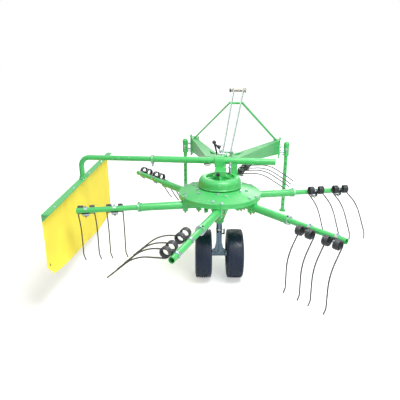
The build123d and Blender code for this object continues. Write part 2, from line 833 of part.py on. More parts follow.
beam_end_reach = hitch_reach - plate_depth / 2
beam_end_x = plate_face - plate_thickness - beam_end_width / 2
across = head(1, 0, 0) - head(0, 0, 0)
along = head(0, 1, 0) - head(0, 0, 0)
beams = {}
for side, word in ((-1, "left"), (1, "right")):
    with BuildPart() as beam:
        with BuildSketch(head_section(beam_root_reach)):
            with Locations(
                (
                    side * (beam_root_inner + beam_root_outer) / 2,
                    (beam_root_top + beam_root_bottom) / 2,
                )
            ):
                Rectangle(beam_root_outer - beam_root_inner, beam_root_top - beam_root_bottom)
        with BuildSketch(head_section(beam_end_reach)):
            with Locations((side * beam_end_x, (plate_top + beam_end_bottom) / 2)):
                Rectangle(beam_end_width, plate_top - beam_end_bottom)
        loft()
        flat(
            head(side * beam_end_x, hitch_reach, beam_end_bottom),
            head(side * beam_end_x, hitch_reach, plate_top),
            across,
            beam_end_width,
            plate_depth,
        )
        flat(
            head(side * (plate_face - plate_thickness / 2), hitch_reach, plate_bottom),
            head(side * (plate_face - plate_thickness / 2), hitch_reach, plate_top),
            across,
            plate_thickness,
            plate_depth,
        )
        with BuildSketch(head_plane(pocket_floor)):
            Polygon(*[(side * x, y) for x, y in beam_pocket], align=None)
        extrude(amount=beam_root_top - pocket_floor, mode=Mode.SUBTRACT)
    save(beam, f"beam_{word}")
    beams[word] = beam

    with BuildPart() as hitch_pins:
        for height in hitch_pin_heights:
            rod(
                head(side * plate_face, hitch_reach, height),
                head(side * (stand_spread - stand_sleeve_radius + pin_bite), hitch_reach, height),
                hitch_pin_radius,
            )
        rod(
            head(side * plate_face, hitch_reach, lock_pin_height),
            head(side * (stand_spread - stand_sleeve_radius + pin_bite), hitch_reach, lock_pin_height),
            lock_pin_radius,
        )
        rod(
            head(side * stand_spread, hitch_reach, stand_sleeve_bottom),
            head(side * stand_spread, hitch_reach, stand_sleeve_top),
            stand_sleeve_radius,
            mode=Mode.SUBTRACT,
        )
    save(hitch_pins, f"hitch_pins_{word}")

    with BuildPart() as stand_sleeve:
        rod(
            head(side * stand_spread, hitch_reach, stand_sleeve_bottom),
            head(side * stand_spread, hitch_reach, stand_sleeve_top),
            stand_sleeve_radius,
            stand_leg_radius + slide_fit,
        )
    save(stand_sleeve, f"stand_sleeve_{word}")

    with BuildPart() as stand_leg:
        rod(
            head(side * stand_spread, hitch_reach, 0),
            head(side * stand_spread, hitch_reach, stand_sleeve_top + seat_gap),
            stand_leg_radius,
        )
        rod(
            head(side * stand_spread, hitch_reach, 0),
            head(side * stand_spread, hitch_reach, stand_foot_thickness),
            stand_foot_radius,
        )
        with BuildSketch(
            Plane(
                origin=head(side * stand_spread, hitch_reach, stand_sleeve_top + seat_gap),
                x_dir=(1, 0, 0),
                z_dir=(0, -1, 0),
            )
        ):
            with BuildLine():
                Line((0, 0), (stand_sleeve_radius, 0))
                RadiusArc((stand_sleeve_radius, 0), (0, stand_sleeve_radius), -stand_sleeve_radius)
                Line((0, stand_sleeve_radius), (0, 0))
            make_face()
        revolve(axis=Axis(head(side * stand_spread, hitch_reach, 0), (0, 0, 1)))
    save(stand_leg, f"stand_leg_{word}")

    with BuildPart() as mast_leg:
        flat(
            head(side * mast_foot_half, mast_reach, plate_top - mast_foot_sink),
            head(mast_shift + side * mast_apex_half, mast_apex_reach, mast_apex_height),
            along,
            mast_bar_width,
            mast_bar_thickness,
        )
        add(beam.part, mode=Mode.SUBTRACT)
        rod(
            head(-mast_foot_half, mast_apex_reach, mast_apex_height),
            head(mast_foot_half, mast_apex_reach, mast_apex_height),
            mast_cross_radius + run_fit,
            mode=Mode.SUBTRACT,
        )
    save(mast_leg, f"mast_leg_{word}")

    with BuildPart() as stay:
        stay_top = head(mast_shift + side * stay_spread, mast_reach, top_pin_height)
        stay_foot = head(mast_shift + side * stay_foot_spread, stay_foot_reach, stay_foot_height)
        stay_run = (stay_top - stay_foot).normalized()
        flat(
            stay_foot - stay_run * stay_end,
            stay_top + stay_run * stay_end,
            stay_run.cross(across),
            stay_width,
            stay_thickness,
        )
        rod(
            head(-2 * top_pin_half, mast_reach, top_pin_height),
            head(2 * top_pin_half, mast_reach, top_pin_height),
            top_pin_radius,
            mode=Mode.SUBTRACT,
        )
        rod(
            head(-2 * top_pin_half, mast_apex_reach, mast_apex_height),
            head(2 * top_pin_half, mast_apex_reach, mast_apex_height),
            mast_cross_radius + run_fit,
            mode=Mode.SUBTRACT,
        )
        rod(
            head(-2 * top_pin_half, stay_foot_reach, stay_foot_height),
            head(2 * top_pin_half, stay_foot_reach, stay_foot_height),
            clevis_pin_radius + run_fit,
            mode=Mode.SUBTRACT,
        )
    save(stay, f"stay_{word}")

with BuildPart() as mast_cross:
    rod(
        head(mast_shift - mast_cross_half, mast_apex_reach, mast_apex_height),
        head(mast_shift + mast_cross_half, mast_apex_reach, mast_apex_height),
        mast_cross_radius,
    )
save(mast_cross, "mast_cross")

with BuildPart() as top_link_pin:
    rod(
        head(mast_shift - top_pin_half, mast_reach, top_pin_height),
        head(mast_shift + top_pin_half, mast_reach, top_pin_height),
        top_pin_radius,
    )
save(top_link_pin, "top_link_pin")

# ---- clevis on the beams' roots that holds the feet of the stays ----
clevis_outer = stay_foot_spread + stay_thickness / 2 + seat_gap + clevis_wall
with BuildPart() as stay_clevis:
    rod(
        head(mast_shift - clevis_outer - clevis_pin_end, stay_foot_reach, stay_foot_height),
        head(mast_shift + clevis_outer + clevis_pin_end, stay_foot_reach, stay_foot_height),
        clevis_pin_radius,
    )
    for side in (-1, 1):
        clevis_x = mast_shift + side * (clevis_outer - clevis_wall / 2)
        flat(
            head(clevis_x, stay_foot_reach, beam_root_bottom),
            head(clevis_x, stay_foot_reach, stay_foot_height + clevis_rise),
            across,
            clevis_wall,
            clevis_depth,
        )
    for word in beams:
        add(beams[word].part, mode=Mode.SUBTRACT)
save(stay_clevis, "stay_clevis")

# ---- lever with a round knob that locks the swivel ----
with BuildPart() as swivel_lever:
    lever_foot = head(-lever_side, lever_reach, beam_root_bottom + lever_sink)
    lever_top = head(-lever_side - lever_shift, lever_reach + lever_tilt, lever_height)
    rod(lever_foot, lever_top, lever_radius)
    with Locations(lever_top):
        Sphere(knob_radius)
    add(beams["left"].part, mode=Mode.SUBTRACT)
save(swivel_lever, "swivel_lever")

# ---- hook on the wheel leg ----
with BuildPart() as leg_hook:
    rod(
        spot(leg_radius, 0, hook_height),
        spot(leg_radius + hook_reach, 0, hook_height),
        hook_radius,
    )
    rod(
        spot(leg_radius + hook_reach, 0, hook_height - hook_radius),
        spot(leg_radius + hook_reach, 0, hook_height + hook_rise),
        hook_radius,
    )
save(leg_hook, "leg_hook")
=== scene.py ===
"""Looks for a parked single-rotor hay rake: paint, plating, spring tines, tyres and side curtain.

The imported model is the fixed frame. Every new piece is placed from its joints, in metres, and
rides on one of its bodies.
"""

import json
import logging
import math
from dataclasses import dataclass, field
from enum import Enum

import bmesh
import bpy
from mathutils import Matrix, Vector


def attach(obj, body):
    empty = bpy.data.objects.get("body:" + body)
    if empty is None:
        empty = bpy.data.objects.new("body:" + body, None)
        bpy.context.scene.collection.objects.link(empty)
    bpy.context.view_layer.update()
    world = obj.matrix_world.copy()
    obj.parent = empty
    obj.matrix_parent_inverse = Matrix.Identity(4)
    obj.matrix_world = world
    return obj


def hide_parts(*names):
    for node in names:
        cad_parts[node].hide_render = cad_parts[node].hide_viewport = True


LOG = logging.getLogger("hay_rake")
UP = Vector((0.0, 0.0, 1.0))

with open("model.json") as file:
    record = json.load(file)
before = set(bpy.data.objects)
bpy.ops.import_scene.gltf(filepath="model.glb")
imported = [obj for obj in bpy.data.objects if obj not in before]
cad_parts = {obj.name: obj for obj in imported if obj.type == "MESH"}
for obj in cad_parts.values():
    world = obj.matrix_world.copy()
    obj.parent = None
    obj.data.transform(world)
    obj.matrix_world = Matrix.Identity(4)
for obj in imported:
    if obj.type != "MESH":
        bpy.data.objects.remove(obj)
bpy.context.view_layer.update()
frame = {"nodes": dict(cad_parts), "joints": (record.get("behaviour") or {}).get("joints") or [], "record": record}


# ---------------------------------------------------------------------------------------------
# Places
# ---------------------------------------------------------------------------------------------
def joint(name: str) -> dict:
    """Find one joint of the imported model.

    Args:
        name: the joint's name.

    Returns:
        The joint's own record.
    """
    return next(entry for entry in frame["joints"] if entry["name"] == name)


def at(x: float, y: float, z: float) -> Matrix:
    """Return a plain move."""
    return Matrix.Translation((x, y, z))


def yaw(angle: float) -> Matrix:
    """Return a turn about the upright axis."""
    return Matrix.Rotation(angle, 4, "Z")


def aimed(point: Vector, heading: Vector, across: Vector | None = None) -> Matrix:
    """Place a part so that its own Z axis points along a heading.

    Args:
        point: where the part's origin goes.
        heading: the direction of its Z axis.
        across: a direction that its X axis leans to.

    Returns:
        The matrix that moves the part there.
    """
    z_axis = heading.normalized()
    lean = across if across is not None else (UP if abs(z_axis.z) < 0.9 else Vector((1, 0, 0)))
    y_axis = z_axis.cross(lean).normalized()
    x_axis = y_axis.cross(z_axis)
    turn = Matrix((x_axis, y_axis, z_axis)).transposed().to_4x4()
    return Matrix.Translation(point) @ turn


@dataclass(frozen=True)
class ArmPlace:
    """One rotor arm: a point on its axis, the way it points out, and how far it is rolled."""

    number: int
    anchor: Vector
    outward: Vector
    roll: float
    anchor_reach: float = 0.45

    @classmethod
    def read(cls, number: int) -> "ArmPlace":
        """Read an arm's place from its roll joint.

        Args:
            number: the arm's number, from 1.

        Returns:
            The arm's place.
        """
        found = joint(f"tine_arm_{number}_roll")
        lowest = found["range_deg"][0] if "range_deg" in found else math.degrees(found["range"][0])
        return cls(number, Vector(found["pos_m"]), -Vector(found["axis"]), -math.radians(lowest))

    @property
    def body(self) -> str:
        """The body that the arm's tube and tines ride on."""
        return f"tine_arm_{self.number}"

    def across(self, reach: float, rolled: bool = True) -> Matrix:
        """Place a section across the arm: X trails, Y rises and Z points back to the hub.

        Args:
            reach: the distance along the arm from the point nearest to the rotor's axis.
            rolled: whether the section is rolled with the tines.

        Returns:
            The section's matrix.
        """
        point = self.anchor + self.outward * (reach - self.anchor_reach)
        trailing = Vector((self.outward.y, -self.outward.x, 0.0))
        turn = Matrix((trailing, UP, -self.outward)).transposed().to_4x4()
        return Matrix.Translation(point) @ turn @ yaw(self.roll if rolled else 0.0)


SIDES = ((-1, "left"), (1, "right"))
ALONG_X = Matrix.Rotation(math.pi / 2, 4, "Y")
ON_EDGE = Matrix.Rotation(math.pi / 2, 4, "X")

ROTOR_CENTRE = Vector(joint("rotor_turn")["pos_m"]) * Vector((1, 1, 0))
HEAD_CENTRE = Vector(joint("headstock_swivel")["pos_m"]) * Vector((1, 1, 0))
HEAD_TURN, BOOM_TURN, BAR_TURN = math.radians(-9.2), math.radians(-6.0), math.radians(-2.0)
BOOM_REACH, BAR_REACH = 0.095, -0.938

# The own places, on the ground, of the rotor, the headstock, the boom and the curtain's bar.
ROTOR = Matrix.Translation(ROTOR_CENTRE)
HEAD = Matrix.Translation(HEAD_CENTRE) @ yaw(HEAD_TURN)
BOOM = ROTOR @ at(0, BOOM_REACH, 0) @ yaw(BOOM_TURN)
BAR = Matrix.Translation(BOOM @ Vector((BAR_REACH, 0, 0))) @ yaw(BAR_TURN)
ARMS = [ArmPlace.read(number) for number in range(1, 7)]


# ---------------------------------------------------------------------------------------------
# Finishes
# ---------------------------------------------------------------------------------------------
FLOAT, VECTOR, COLOUR = "NodeSocketFloat", "NodeSocketVector", "NodeSocketColor"


class Effect(Enum):
    """Surface effects that several finishes share."""

    MOTTLE = "mottled_colour"
    RELIEF = "fine_relief"
    DUST = "settled_dust"
    GRAIN = "drawn_grain"
    WEAVE = "cloth_weave"


class NodeBench:
    """Adds and joins the nodes of one node tree."""

    def __init__(self, tree: bpy.types.NodeTree) -> None:
        """Take the tree and empty it."""
        self.tree = tree
        tree.nodes.clear()

    def feed(self, node: bpy.types.Node, inputs: dict) -> None:
        """Join a socket to each input of a node, or set its value.

        Args:
            node: the node.
            inputs: a value or a socket for each input, by name or number.
        """
        for name, value in inputs.items():
            if isinstance(value, bpy.types.NodeSocket):
                self.tree.links.new(value, node.inputs[name])
            else:
                node.inputs[name].default_value = value

    def add(self, kind: str, inputs: dict | None = None, **settings: object) -> bpy.types.Node:
        """Add one node.

        Args:
            kind: the node's type.
            inputs: a value or a socket for each input, by name or number.
            settings: the node's own properties.

        Returns:
            The new node.
        """
        node = self.tree.nodes.new(kind)
        for name, value in settings.items():
            setattr(node, name, value)
        self.feed(node, inputs or {})
        return node

    def mix(self, share: object, first: object, second: object) -> bpy.types.NodeSocket:
        """Mix two colours.

        Args:
            share: how much of the second colour shows.
            first: the colour at a share of 0.
            second: the colour at a share of 1.

        Returns:
            The mixed colour's socket.
        """
        node = self.add("ShaderNodeMix", {0: share, 6: first, 7: second}, data_type="RGBA")
        return node.outputs[2]

    def ramp(self, value: object, low: float, high: float) -> bpy.types.NodeSocket:
        """Stretch a value so that it runs from 0 at low to 1 at high."""
        node = self.add("ShaderNodeMapRange", {"Value": value, 1: low, 2: high, 3: 0.0, 4: 1.0})
        return node.outputs[0]

    def blend(self, value: object, low: float, high: float) -> bpy.types.NodeSocket:
        """Turn a share from 0 to 1 into a value between two others."""
        node = self.add("ShaderNodeMapRange", {"Value": value, 1: 0.0, 2: 1.0, 3: low, 4: high})
        return node.outputs[0]

    def calc(self, operation: str, first: object, second: object) -> bpy.types.NodeSocket:
        """Join two values by one operation of the math node."""
        return self.add("ShaderNodeMath", {0: first, 1: second}, operation=operation).outputs[0]

    def where(self, kind: str = "Object") -> bpy.types.NodeSocket:
        """Return the shaded point's place, in one of its own maps."""
        return self.add("ShaderNodeTexCoord").outputs[kind]

    def stretched(self, place: bpy.types.NodeSocket, by: object) -> bpy.types.NodeSocket:
        """Stretch a place by its own share along each axis."""
        node = self.add("ShaderNodeVectorMath", {0: place, 1: by}, operation="MULTIPLY")
        return node.outputs[0]

    def noise(
        self, place: bpy.types.NodeSocket, scale: object, detail: float, roughness: float = 0.5
    ) -> bpy.types.NodeSocket:
        """Make noise from 0 to 1.

        Args:
            place: where it is read.
            scale: how fine it is.
            detail: how many finer layers it has.
            roughness: how strong the finer layers are.

        Returns:
            The noise's socket.
        """
        inputs = {"Vector": place, "Scale": scale, "Detail": detail, "Roughness": roughness}
        return self.add("ShaderNodeTexNoise", inputs).outputs[0]

    def bump(self, height: object, strength: object, distance: float) -> bpy.types.NodeSocket:
        """Turn heights from 0 to 1 into a normal."""
        inputs = {"Height": height, "Strength": strength, "Distance": distance}
        return self.add("ShaderNodeBump", inputs).outputs[0]


class EffectShelf:
    """Builds each shared effect once, as a node group, and hands it out."""

    def __init__(self) -> None:
        """Start with no effect built."""
        self.built: dict[Effect, bpy.types.NodeTree] = {}

    def get(self, effect: Effect) -> bpy.types.NodeTree:
        """Return an effect's node group, built on first use."""
        if effect not in self.built:
            self.built[effect] = getattr(self, f"_{effect.name.lower()}")(effect.value)
        return self.built[effect]

    @staticmethod
    def _group(name: str, takes: dict, gives: dict) -> tuple:
        """Start a group with named sockets.

        Args:
            name: the group's name.
            takes: each input's kind and first value.
            gives: each output's kind.

        Returns:
            The bench, the sockets that the group is given, and its output node.
        """
        tree = bpy.data.node_groups.new(name, "ShaderNodeTree")
        for title, (kind, value) in takes.items():
            tree.interface.new_socket(title, in_out="INPUT", socket_type=kind).default_value = value
        for title, kind in gives.items():
            tree.interface.new_socket(title, in_out="OUTPUT", socket_type=kind)
        bench = NodeBench(tree)
        return bench, bench.add("NodeGroupInput").outputs, bench.add("NodeGroupOutput")

    def _mottle(self, name: str) -> bpy.types.NodeTree:
        """Soft light and dark clouds in a colour."""
        bench, given, out = self._group(
            name,
            {"Colour": (COLOUR, (0.5, 0.5, 0.5, 1)), "Scale": (FLOAT, 4.0), "Amount": (FLOAT, 0.2)},
            {"Colour": COLOUR, "Mask": FLOAT},
        )
        cloud = bench.noise(bench.where(), given["Scale"], 4.0, 0.6)
        mask = bench.ramp(cloud, 0.3, 0.7)
        change = bench.calc("MULTIPLY", bench.calc("SUBTRACT", mask, 0.5), given["Amount"])
        value = bench.calc("ADD", change, 1.0)
        tinted = bench.add("ShaderNodeHueSaturation", {"Color": given["Colour"], "Value": value})
        bench.feed(out, {"Colour": tinted.outputs[0], "Mask": mask})
        return bench.tree

    def _relief(self, name: str) -> bpy.types.NodeTree:
        """Fine bumps, as of sprayed paint or moulded rubber."""
        bench, given, out = self._group(
            name, {"Scale": (FLOAT, 300.0), "Depth": (FLOAT, 0.1)}, {"Normal": VECTOR}
        )
        height = bench.noise(bench.where(), given["Scale"], 2.0)
        bench.feed(out, {"Normal": bench.bump(height, given["Depth"], 0.001)})
        return bench.tree

    def _dust(self, name: str) -> bpy.types.NodeTree:
        """Dust that settles on faces that look up, in patches."""
        bench, given, out = self._group(
            name,
            {
                "Colour": (COLOUR, (0.5, 0.5, 0.5, 1)),
                "Tint": (COLOUR, (0.6, 0.55, 0.45, 1)),
                "Amount": (FLOAT, 0.1),
            },
            {"Colour": COLOUR, "Mask": FLOAT},
        )
        facing = bench.add("ShaderNodeNewGeometry").outputs["Normal"]
        rise = bench.add("ShaderNodeSeparateXYZ", {0: facing}).outputs[2]
        upward = bench.ramp(rise, 0.2, 1.0)
        patch = bench.ramp(bench.noise(bench.where(), 14.0, 6.0), 0.35, 0.75)
        mask = bench.calc("MULTIPLY", bench.calc("MULTIPLY", upward, patch), given["Amount"])
        dusty = bench.mix(mask, given["Colour"], given["Tint"])
        bench.feed(out, {"Colour": dusty, "Mask": mask})
        return bench.tree

    def _grain(self, name: str) -> bpy.types.NodeTree:
        """Streaks drawn out one way, as on turned or plated steel."""
        bench, given, out = self._group(
            name,
            {
                "Scale": (FLOAT, 60.0),
                "Stretch": (VECTOR, (1.0, 1.0, 0.08)),
                "Depth": (FLOAT, 0.1),
            },
            {"Mask": FLOAT, "Normal": VECTOR},
        )
        drawn = bench.stretched(bench.where(), given["Stretch"])
        mask = bench.ramp(bench.noise(drawn, given["Scale"], 5.0), 0.3, 0.7)
        bench.feed(out, {"Mask": mask, "Normal": bench.bump(mask, given["Depth"], 0.0006)})
        return bench.tree

    def _weave(self, name: str) -> bpy.types.NodeTree:
        """A plain weave under a thin coat, laid along the cloth's own map."""
        bench, given, out = self._group(
            name,
            {"Threads": (FLOAT, 500.0), "Depth": (FLOAT, 0.3)},
            {"Mask": FLOAT, "Normal": VECTOR},
        )
        inputs = {"Vector": bench.where("UV"), "Scale": given["Threads"], "Distortion": 0.0}
        warp, weft = (
            bench.add("ShaderNodeTexWave", inputs, bands_direction=way).outputs[1]
            for way in ("X", "Y")
        )
        both = bench.calc("MAXIMUM", warp, weft)
        bench.feed(out, {"Mask": both, "Normal": bench.bump(both, given["Depth"], 0.0004)})
        return bench.tree



EFFECTS = EffectShelf()


@dataclass(frozen=True)
class Finish:
    """A painted, plated, moulded or woven surface, and the slot that it stands for.

    Subclasses differ in how they wire the shared effects.
    """

    name: str
    slot: str
    colour: tuple[float, float, float]
    roughness: float = 0.35
    metallic: float = 0.0
    variation: float = 0.12
    cloud_scale: float = 5.0

    @staticmethod
    def effect(bench: NodeBench, effect: Effect, inputs: dict) -> bpy.types.Node:
        """Place a shared effect among a finish's nodes."""
        return bench.add("ShaderNodeGroup", inputs, node_tree=EFFECTS.get(effect))

    def material(self) -> bpy.types.Material:
        """Return this finish's material, made on first use."""
        found = bpy.data.materials.get(self.name)
        if found:
            return found
        made = bpy.data.materials.new(self.name)
        made.use_nodes = True
        made.diffuse_color = (*self.colour, 1.0)
        bench = NodeBench(made.node_tree)
        shader = bench.add(
            "ShaderNodeBsdfPrincipled", {"Roughness": self.roughness, "Metallic": self.metallic}
        )
        bench.add("ShaderNodeOutputMaterial", {0: shader.outputs[0]})
        mottle = self.effect(
            bench,
            Effect.MOTTLE,
            {"Colour": (*self.colour, 1.0), "Scale": self.cloud_scale, "Amount": self.variation},
        )
        self.wire(bench, shader, mottle)
        return made

    def wire(self, bench: NodeBench, shader: bpy.types.Node, mottle: bpy.types.Node) -> None:
        """Join the mottled colour straight to the shader."""
        bench.feed(shader, {"Base Color": mottle.outputs["Colour"]})


@dataclass(frozen=True)
class Paint(Finish):
    """Sprayed gloss paint with a little orange peel, dust, and rub marks down to a paler film."""

    peel: float = 0.06
    peel_scale: float = 260.0
    dust: float = 0.12
    coat: float = 0.5
    coat_roughness: float = 0.20
    rub_scale: float = 38.0
    rub_share: float = 0.3
    rough_range: float = 0.12

    def wire(self, bench: NodeBench, shader: bpy.types.Node, mottle: bpy.types.Node) -> None:
        """Lay rub marks and dust over the mottled paint."""
        rub = bench.ramp(bench.noise(bench.where(), self.rub_scale, 8.0), 0.63, 0.72)
        pale = tuple(0.55 * part + 0.42 for part in self.colour)
        share = bench.blend(rub, 0.0, self.rub_share)
        rubbed = bench.mix(share, mottle.outputs["Colour"], (*pale, 1.0))
        dusty = self.effect(bench, Effect.DUST, {"Colour": rubbed, "Amount": self.dust})
        relief = self.effect(bench, Effect.RELIEF, {"Scale": self.peel_scale, "Depth": self.peel})
        roughest = self.roughness + self.rough_range
        bench.feed(
            shader,
            {
                "Base Color": dusty.outputs["Colour"],
                "Roughness": bench.blend(mottle.outputs["Mask"], self.roughness, roughest),
                "Normal": relief.outputs["Normal"],
                "Coat Weight": self.coat,
                "Coat Roughness": self.coat_roughness,
            },
        )


@dataclass(frozen=True)
class Plating(Finish):
    """Bright plated or turned steel with streaks and duller clouds."""

    stretch: tuple[float, float, float] = (1.0, 1.0, 0.1)
    grain_depth: float = 0.12
    streak_tone: float = 0.62
    streak_share: float = 0.45
    rough_range: float = 0.16

    def wire(self, bench: NodeBench, shader: bpy.types.Node, mottle: bpy.types.Node) -> None:
        """Streak the mottled metal and vary its gloss along the streaks."""
        grain = self.effect(
            bench, Effect.GRAIN, {"Stretch": self.stretch, "Depth": self.grain_depth}
        )
        mask = grain.outputs["Mask"]
        dull = tuple(part * self.streak_tone for part in self.colour)
        share = bench.blend(mask, self.streak_share, 0.0)
        roughest = self.roughness + self.rough_range
        bench.feed(
            shader,
            {
                "Base Color": bench.mix(share, mottle.outputs["Colour"], (*dull, 1.0)),
                "Roughness": bench.blend(mask, roughest, self.roughness),
                "Normal": grain.outputs["Normal"],
            },
        )


@dataclass(frozen=True)
class Moulded(Finish):
    """Rubber or plastic from a mould, with a dusty bloom on the faces that look up."""

    grain_scale: float = 420.0
    grain_depth: float = 0.25
    bloom: float = 0.25
    bloom_tint: tuple[float, float, float] = (0.20, 0.22, 0.26)
    rough_range: float = 0.18

    def wire(self, bench: NodeBench, shader: bpy.types.Node, mottle: bpy.types.Node) -> None:
        """Put the bloom and the mould's grain on the mottled colour."""
        bloom = {"Tint": (*self.bloom_tint, 1.0), "Amount": self.bloom}
        dusty = self.effect(bench, Effect.DUST, {"Colour": mottle.outputs["Colour"], **bloom})
        relief = self.effect(
            bench, Effect.RELIEF, {"Scale": self.grain_scale, "Depth": self.grain_depth}
        )
        roughest = self.roughness + self.rough_range
        bench.feed(
            shader,
            {
                "Base Color": dusty.outputs["Colour"],
                "Roughness": bench.blend(mottle.outputs["Mask"], self.roughness, roughest),
                "Normal": relief.outputs["Normal"],
            },
        )


@dataclass(frozen=True)
class CoatedCloth(Finish):
    """Bright coated cloth whose weave shows faintly, with painted fold shade in random darker bands and a painted
    glow.
    """

    # Colour of the painted fold shade, and how its random bands are stretched, sized and mixed in.
    fold_shade: tuple[float, float, float] = (0.86, 0.64, 0.02)
    fold_shade_stretch: tuple[float, float, float] = (1.0, 2.2, 0.8)
    fold_shade_scale: float = 3.5
    fold_shade_share: float = 0.3
    threads: float = 120.0
    thread_depth: float = 0.25
    thread_share: float = 0.10
    shine: float = 0.25
    # Strength of a faint glow in the cloth's own colour: painted light that brightens the whole cloth.
    glow: float = 0.12

    def wire(self, bench: NodeBench, shader: bpy.types.Node, mottle: bpy.types.Node) -> None:
        """Weave the cloth, darken it with painted fold shade in random bands, and let it glow a little as painted
        light.
        """
        weave = self.effect(
            bench, Effect.WEAVE, {"Threads": self.threads, "Depth": self.thread_depth}
        )
        # Painted shade of the cloth's folds: random stretched bands, darker towards the fold shade colour, which
        # the weave's gaps share.
        drawn = bench.stretched(bench.where(), self.fold_shade_stretch)
        fold_shade_mask = bench.ramp(bench.noise(drawn, self.fold_shade_scale, 7.0), 0.55, 0.8)
        tint = (*self.fold_shade, 1.0)
        share = bench.blend(fold_shade_mask, 0.0, self.fold_shade_share)
        fold_shaded = bench.mix(share, mottle.outputs["Colour"], tint)
        worn = bench.blend(weave.outputs["Mask"], self.thread_share, 0.0)
        bench.feed(
            shader,
            {
                "Base Color": bench.mix(worn, fold_shaded, tint),
                "Normal": weave.outputs["Normal"],
                "Specular IOR Level": self.shine,
                # Painted light: the cloth glows faintly in its own colour.
                "Emission Color": (*self.colour, 1.0),
                "Emission Strength": self.glow,
            },
        )


GREEN = Paint(
    "light_green_paint", "light_green", (0.070, 0.560, 0.140), roughness=0.30, dust=0.02, coat=0.4
)
ZINC = Plating("zinc_plate", "zinc", (0.62, 0.70, 0.76), roughness=0.24, metallic=0.95)
BLUE_ZINC = Plating("blue_zinc", "zinc", (0.15, 0.21, 0.28), roughness=0.16, metallic=1.0)
DULL_ZINC = Plating("dull_zinc", "zinc", (0.46, 0.58, 0.52), roughness=0.45, metallic=0.6)
STEEL = Plating("turned_steel", "bare_steel", (0.50, 0.46, 0.40), roughness=0.3, metallic=1.0)
BLACK = Paint("black_paint", "black_paint", (0.022, 0.024, 0.028), roughness=0.38, dust=0.05)
SPRING = Paint(
    "dark_spring_wire", "black_tine", (0.030, 0.034, 0.044), roughness=0.34, dust=0.08, peel=0.15
)
RUBBER = Moulded(
    "tyre_rubber", "tyre", (0.010, 0.023, 0.056), roughness=0.28, variation=0.3, bloom=0.08
)
CLOTH = CoatedCloth(
    "yellow_coated_cloth", "yellow_cloth", (1.0, 0.82, 0.080), roughness=0.6, variation=0.12
)
GOLD = Plating("yellow_zinc", "zinc", (0.46, 0.42, 0.20), roughness=0.35, metallic=0.9)
PAD = Moulded(
    "brown_pad", "black_paint", (0.10, 0.065, 0.045), roughness=0.6, bloom_tint=(0.3, 0.26, 0.22)
)
SLOT_FINISHES = {
    finish.slot: finish for finish in (GREEN, ZINC, STEEL, BLACK, SPRING, RUBBER, CLOTH)
}
# Nodes that wear another finish than their slot's.
OWN_FINISHES = {
    "wheel_leg": BLUE_ZINC,
    "axle": BLUE_ZINC,
    "stay_left": DULL_ZINC,
    "stay_right": DULL_ZINC,
    "stay_clevis": DULL_ZINC,
}


# ---------------------------------------------------------------------------------------------
# Shapes
# ---------------------------------------------------------------------------------------------
def baked(name: str, part: bmesh.types.BMesh) -> bpy.types.Mesh:
    """Turn a part into a smooth-shaded mesh, and free the part."""
    for face in part.faces:
        face.smooth = True
    mesh = bpy.data.meshes.new(name)
    part.to_mesh(mesh)
    part.free()
    return mesh


def put(name: str, data: bpy.types.ID) -> bpy.types.Object:
    """Put a new object with this data in the scene."""
    made = bpy.data.objects.new(name, data)
    bpy.context.scene.collection.objects.link(made)
    return made


class Wire:
    """A round bar grown from its end ring by straight runs and turns."""

    def __init__(self, start: Vector, heading: Vector, radius: float, sides: int = 8) -> None:
        """Start the bar with a closed end.

        Args:
            start: the middle of its first end.
            heading: the way that it sets out.
            radius: the bar's radius.
            sides: how many flats stand for its roundness.
        """
        self.mesh = bmesh.new()
        self.point = start.copy()
        self.heading = heading.normalized()
        bmesh.ops.create_circle(
            self.mesh,
            cap_ends=True,
            segments=sides,
            radius=radius,
            matrix=aimed(self.point, self.heading),
        )
        self.ring = self.mesh.edges[:]

    def run(self, length: float) -> "Wire":
        """Go straight on for a length."""
        grown = bmesh.ops.extrude_edge_only(self.mesh, edges=self.ring)["geom"]
        moved = [part for part in grown if isinstance(part, bmesh.types.BMVert)]
        bmesh.ops.translate(self.mesh, verts=moved, vec=self.heading * length)
        self.ring = [
            part for part in grown if isinstance(part, bmesh.types.BMEdge) and part.is_boundary
        ]
        self.point = self.point + self.heading * length
        return self

    def turn(
        self, axis: Vector, radius: float, angle: float, steps: int = 6, lift: float = 0.0
    ) -> "Wire":
        """Go round an arc, or up a helix.

        Args:
            axis: the arc's axis, with the turn by the right-hand rule.
            radius: the arc's radius.
            angle: how far it turns, in radians.
            steps: how many pieces the arc has.
            lift: how far the whole arc climbs along its axis.

        Returns:
            The wire itself.
        """
        centre = self.point + axis.cross(self.heading) * radius
        ends = list({end for edge in self.ring for end in edge.verts})
        last = bmesh.ops.spin(
            self.mesh,
            geom=ends + self.ring,
            cent=centre,
            axis=axis,
            dvec=axis * (lift / steps),
            angle=angle,
            steps=steps,
            use_duplicate=False,
        )["geom_last"]
        self.ring = [part for part in last if isinstance(part, bmesh.types.BMEdge)]
        turned = Matrix.Rotation(angle, 3, axis)
        self.point = centre + turned @ (self.point - centre) + axis * lift
        self.heading = turned @ self.heading
        return self

    def end(self) -> bmesh.types.BMesh:
        """Close the far end and return the bar."""
        bmesh.ops.contextual_create(self.mesh, geom=self.ring)
        return self.mesh


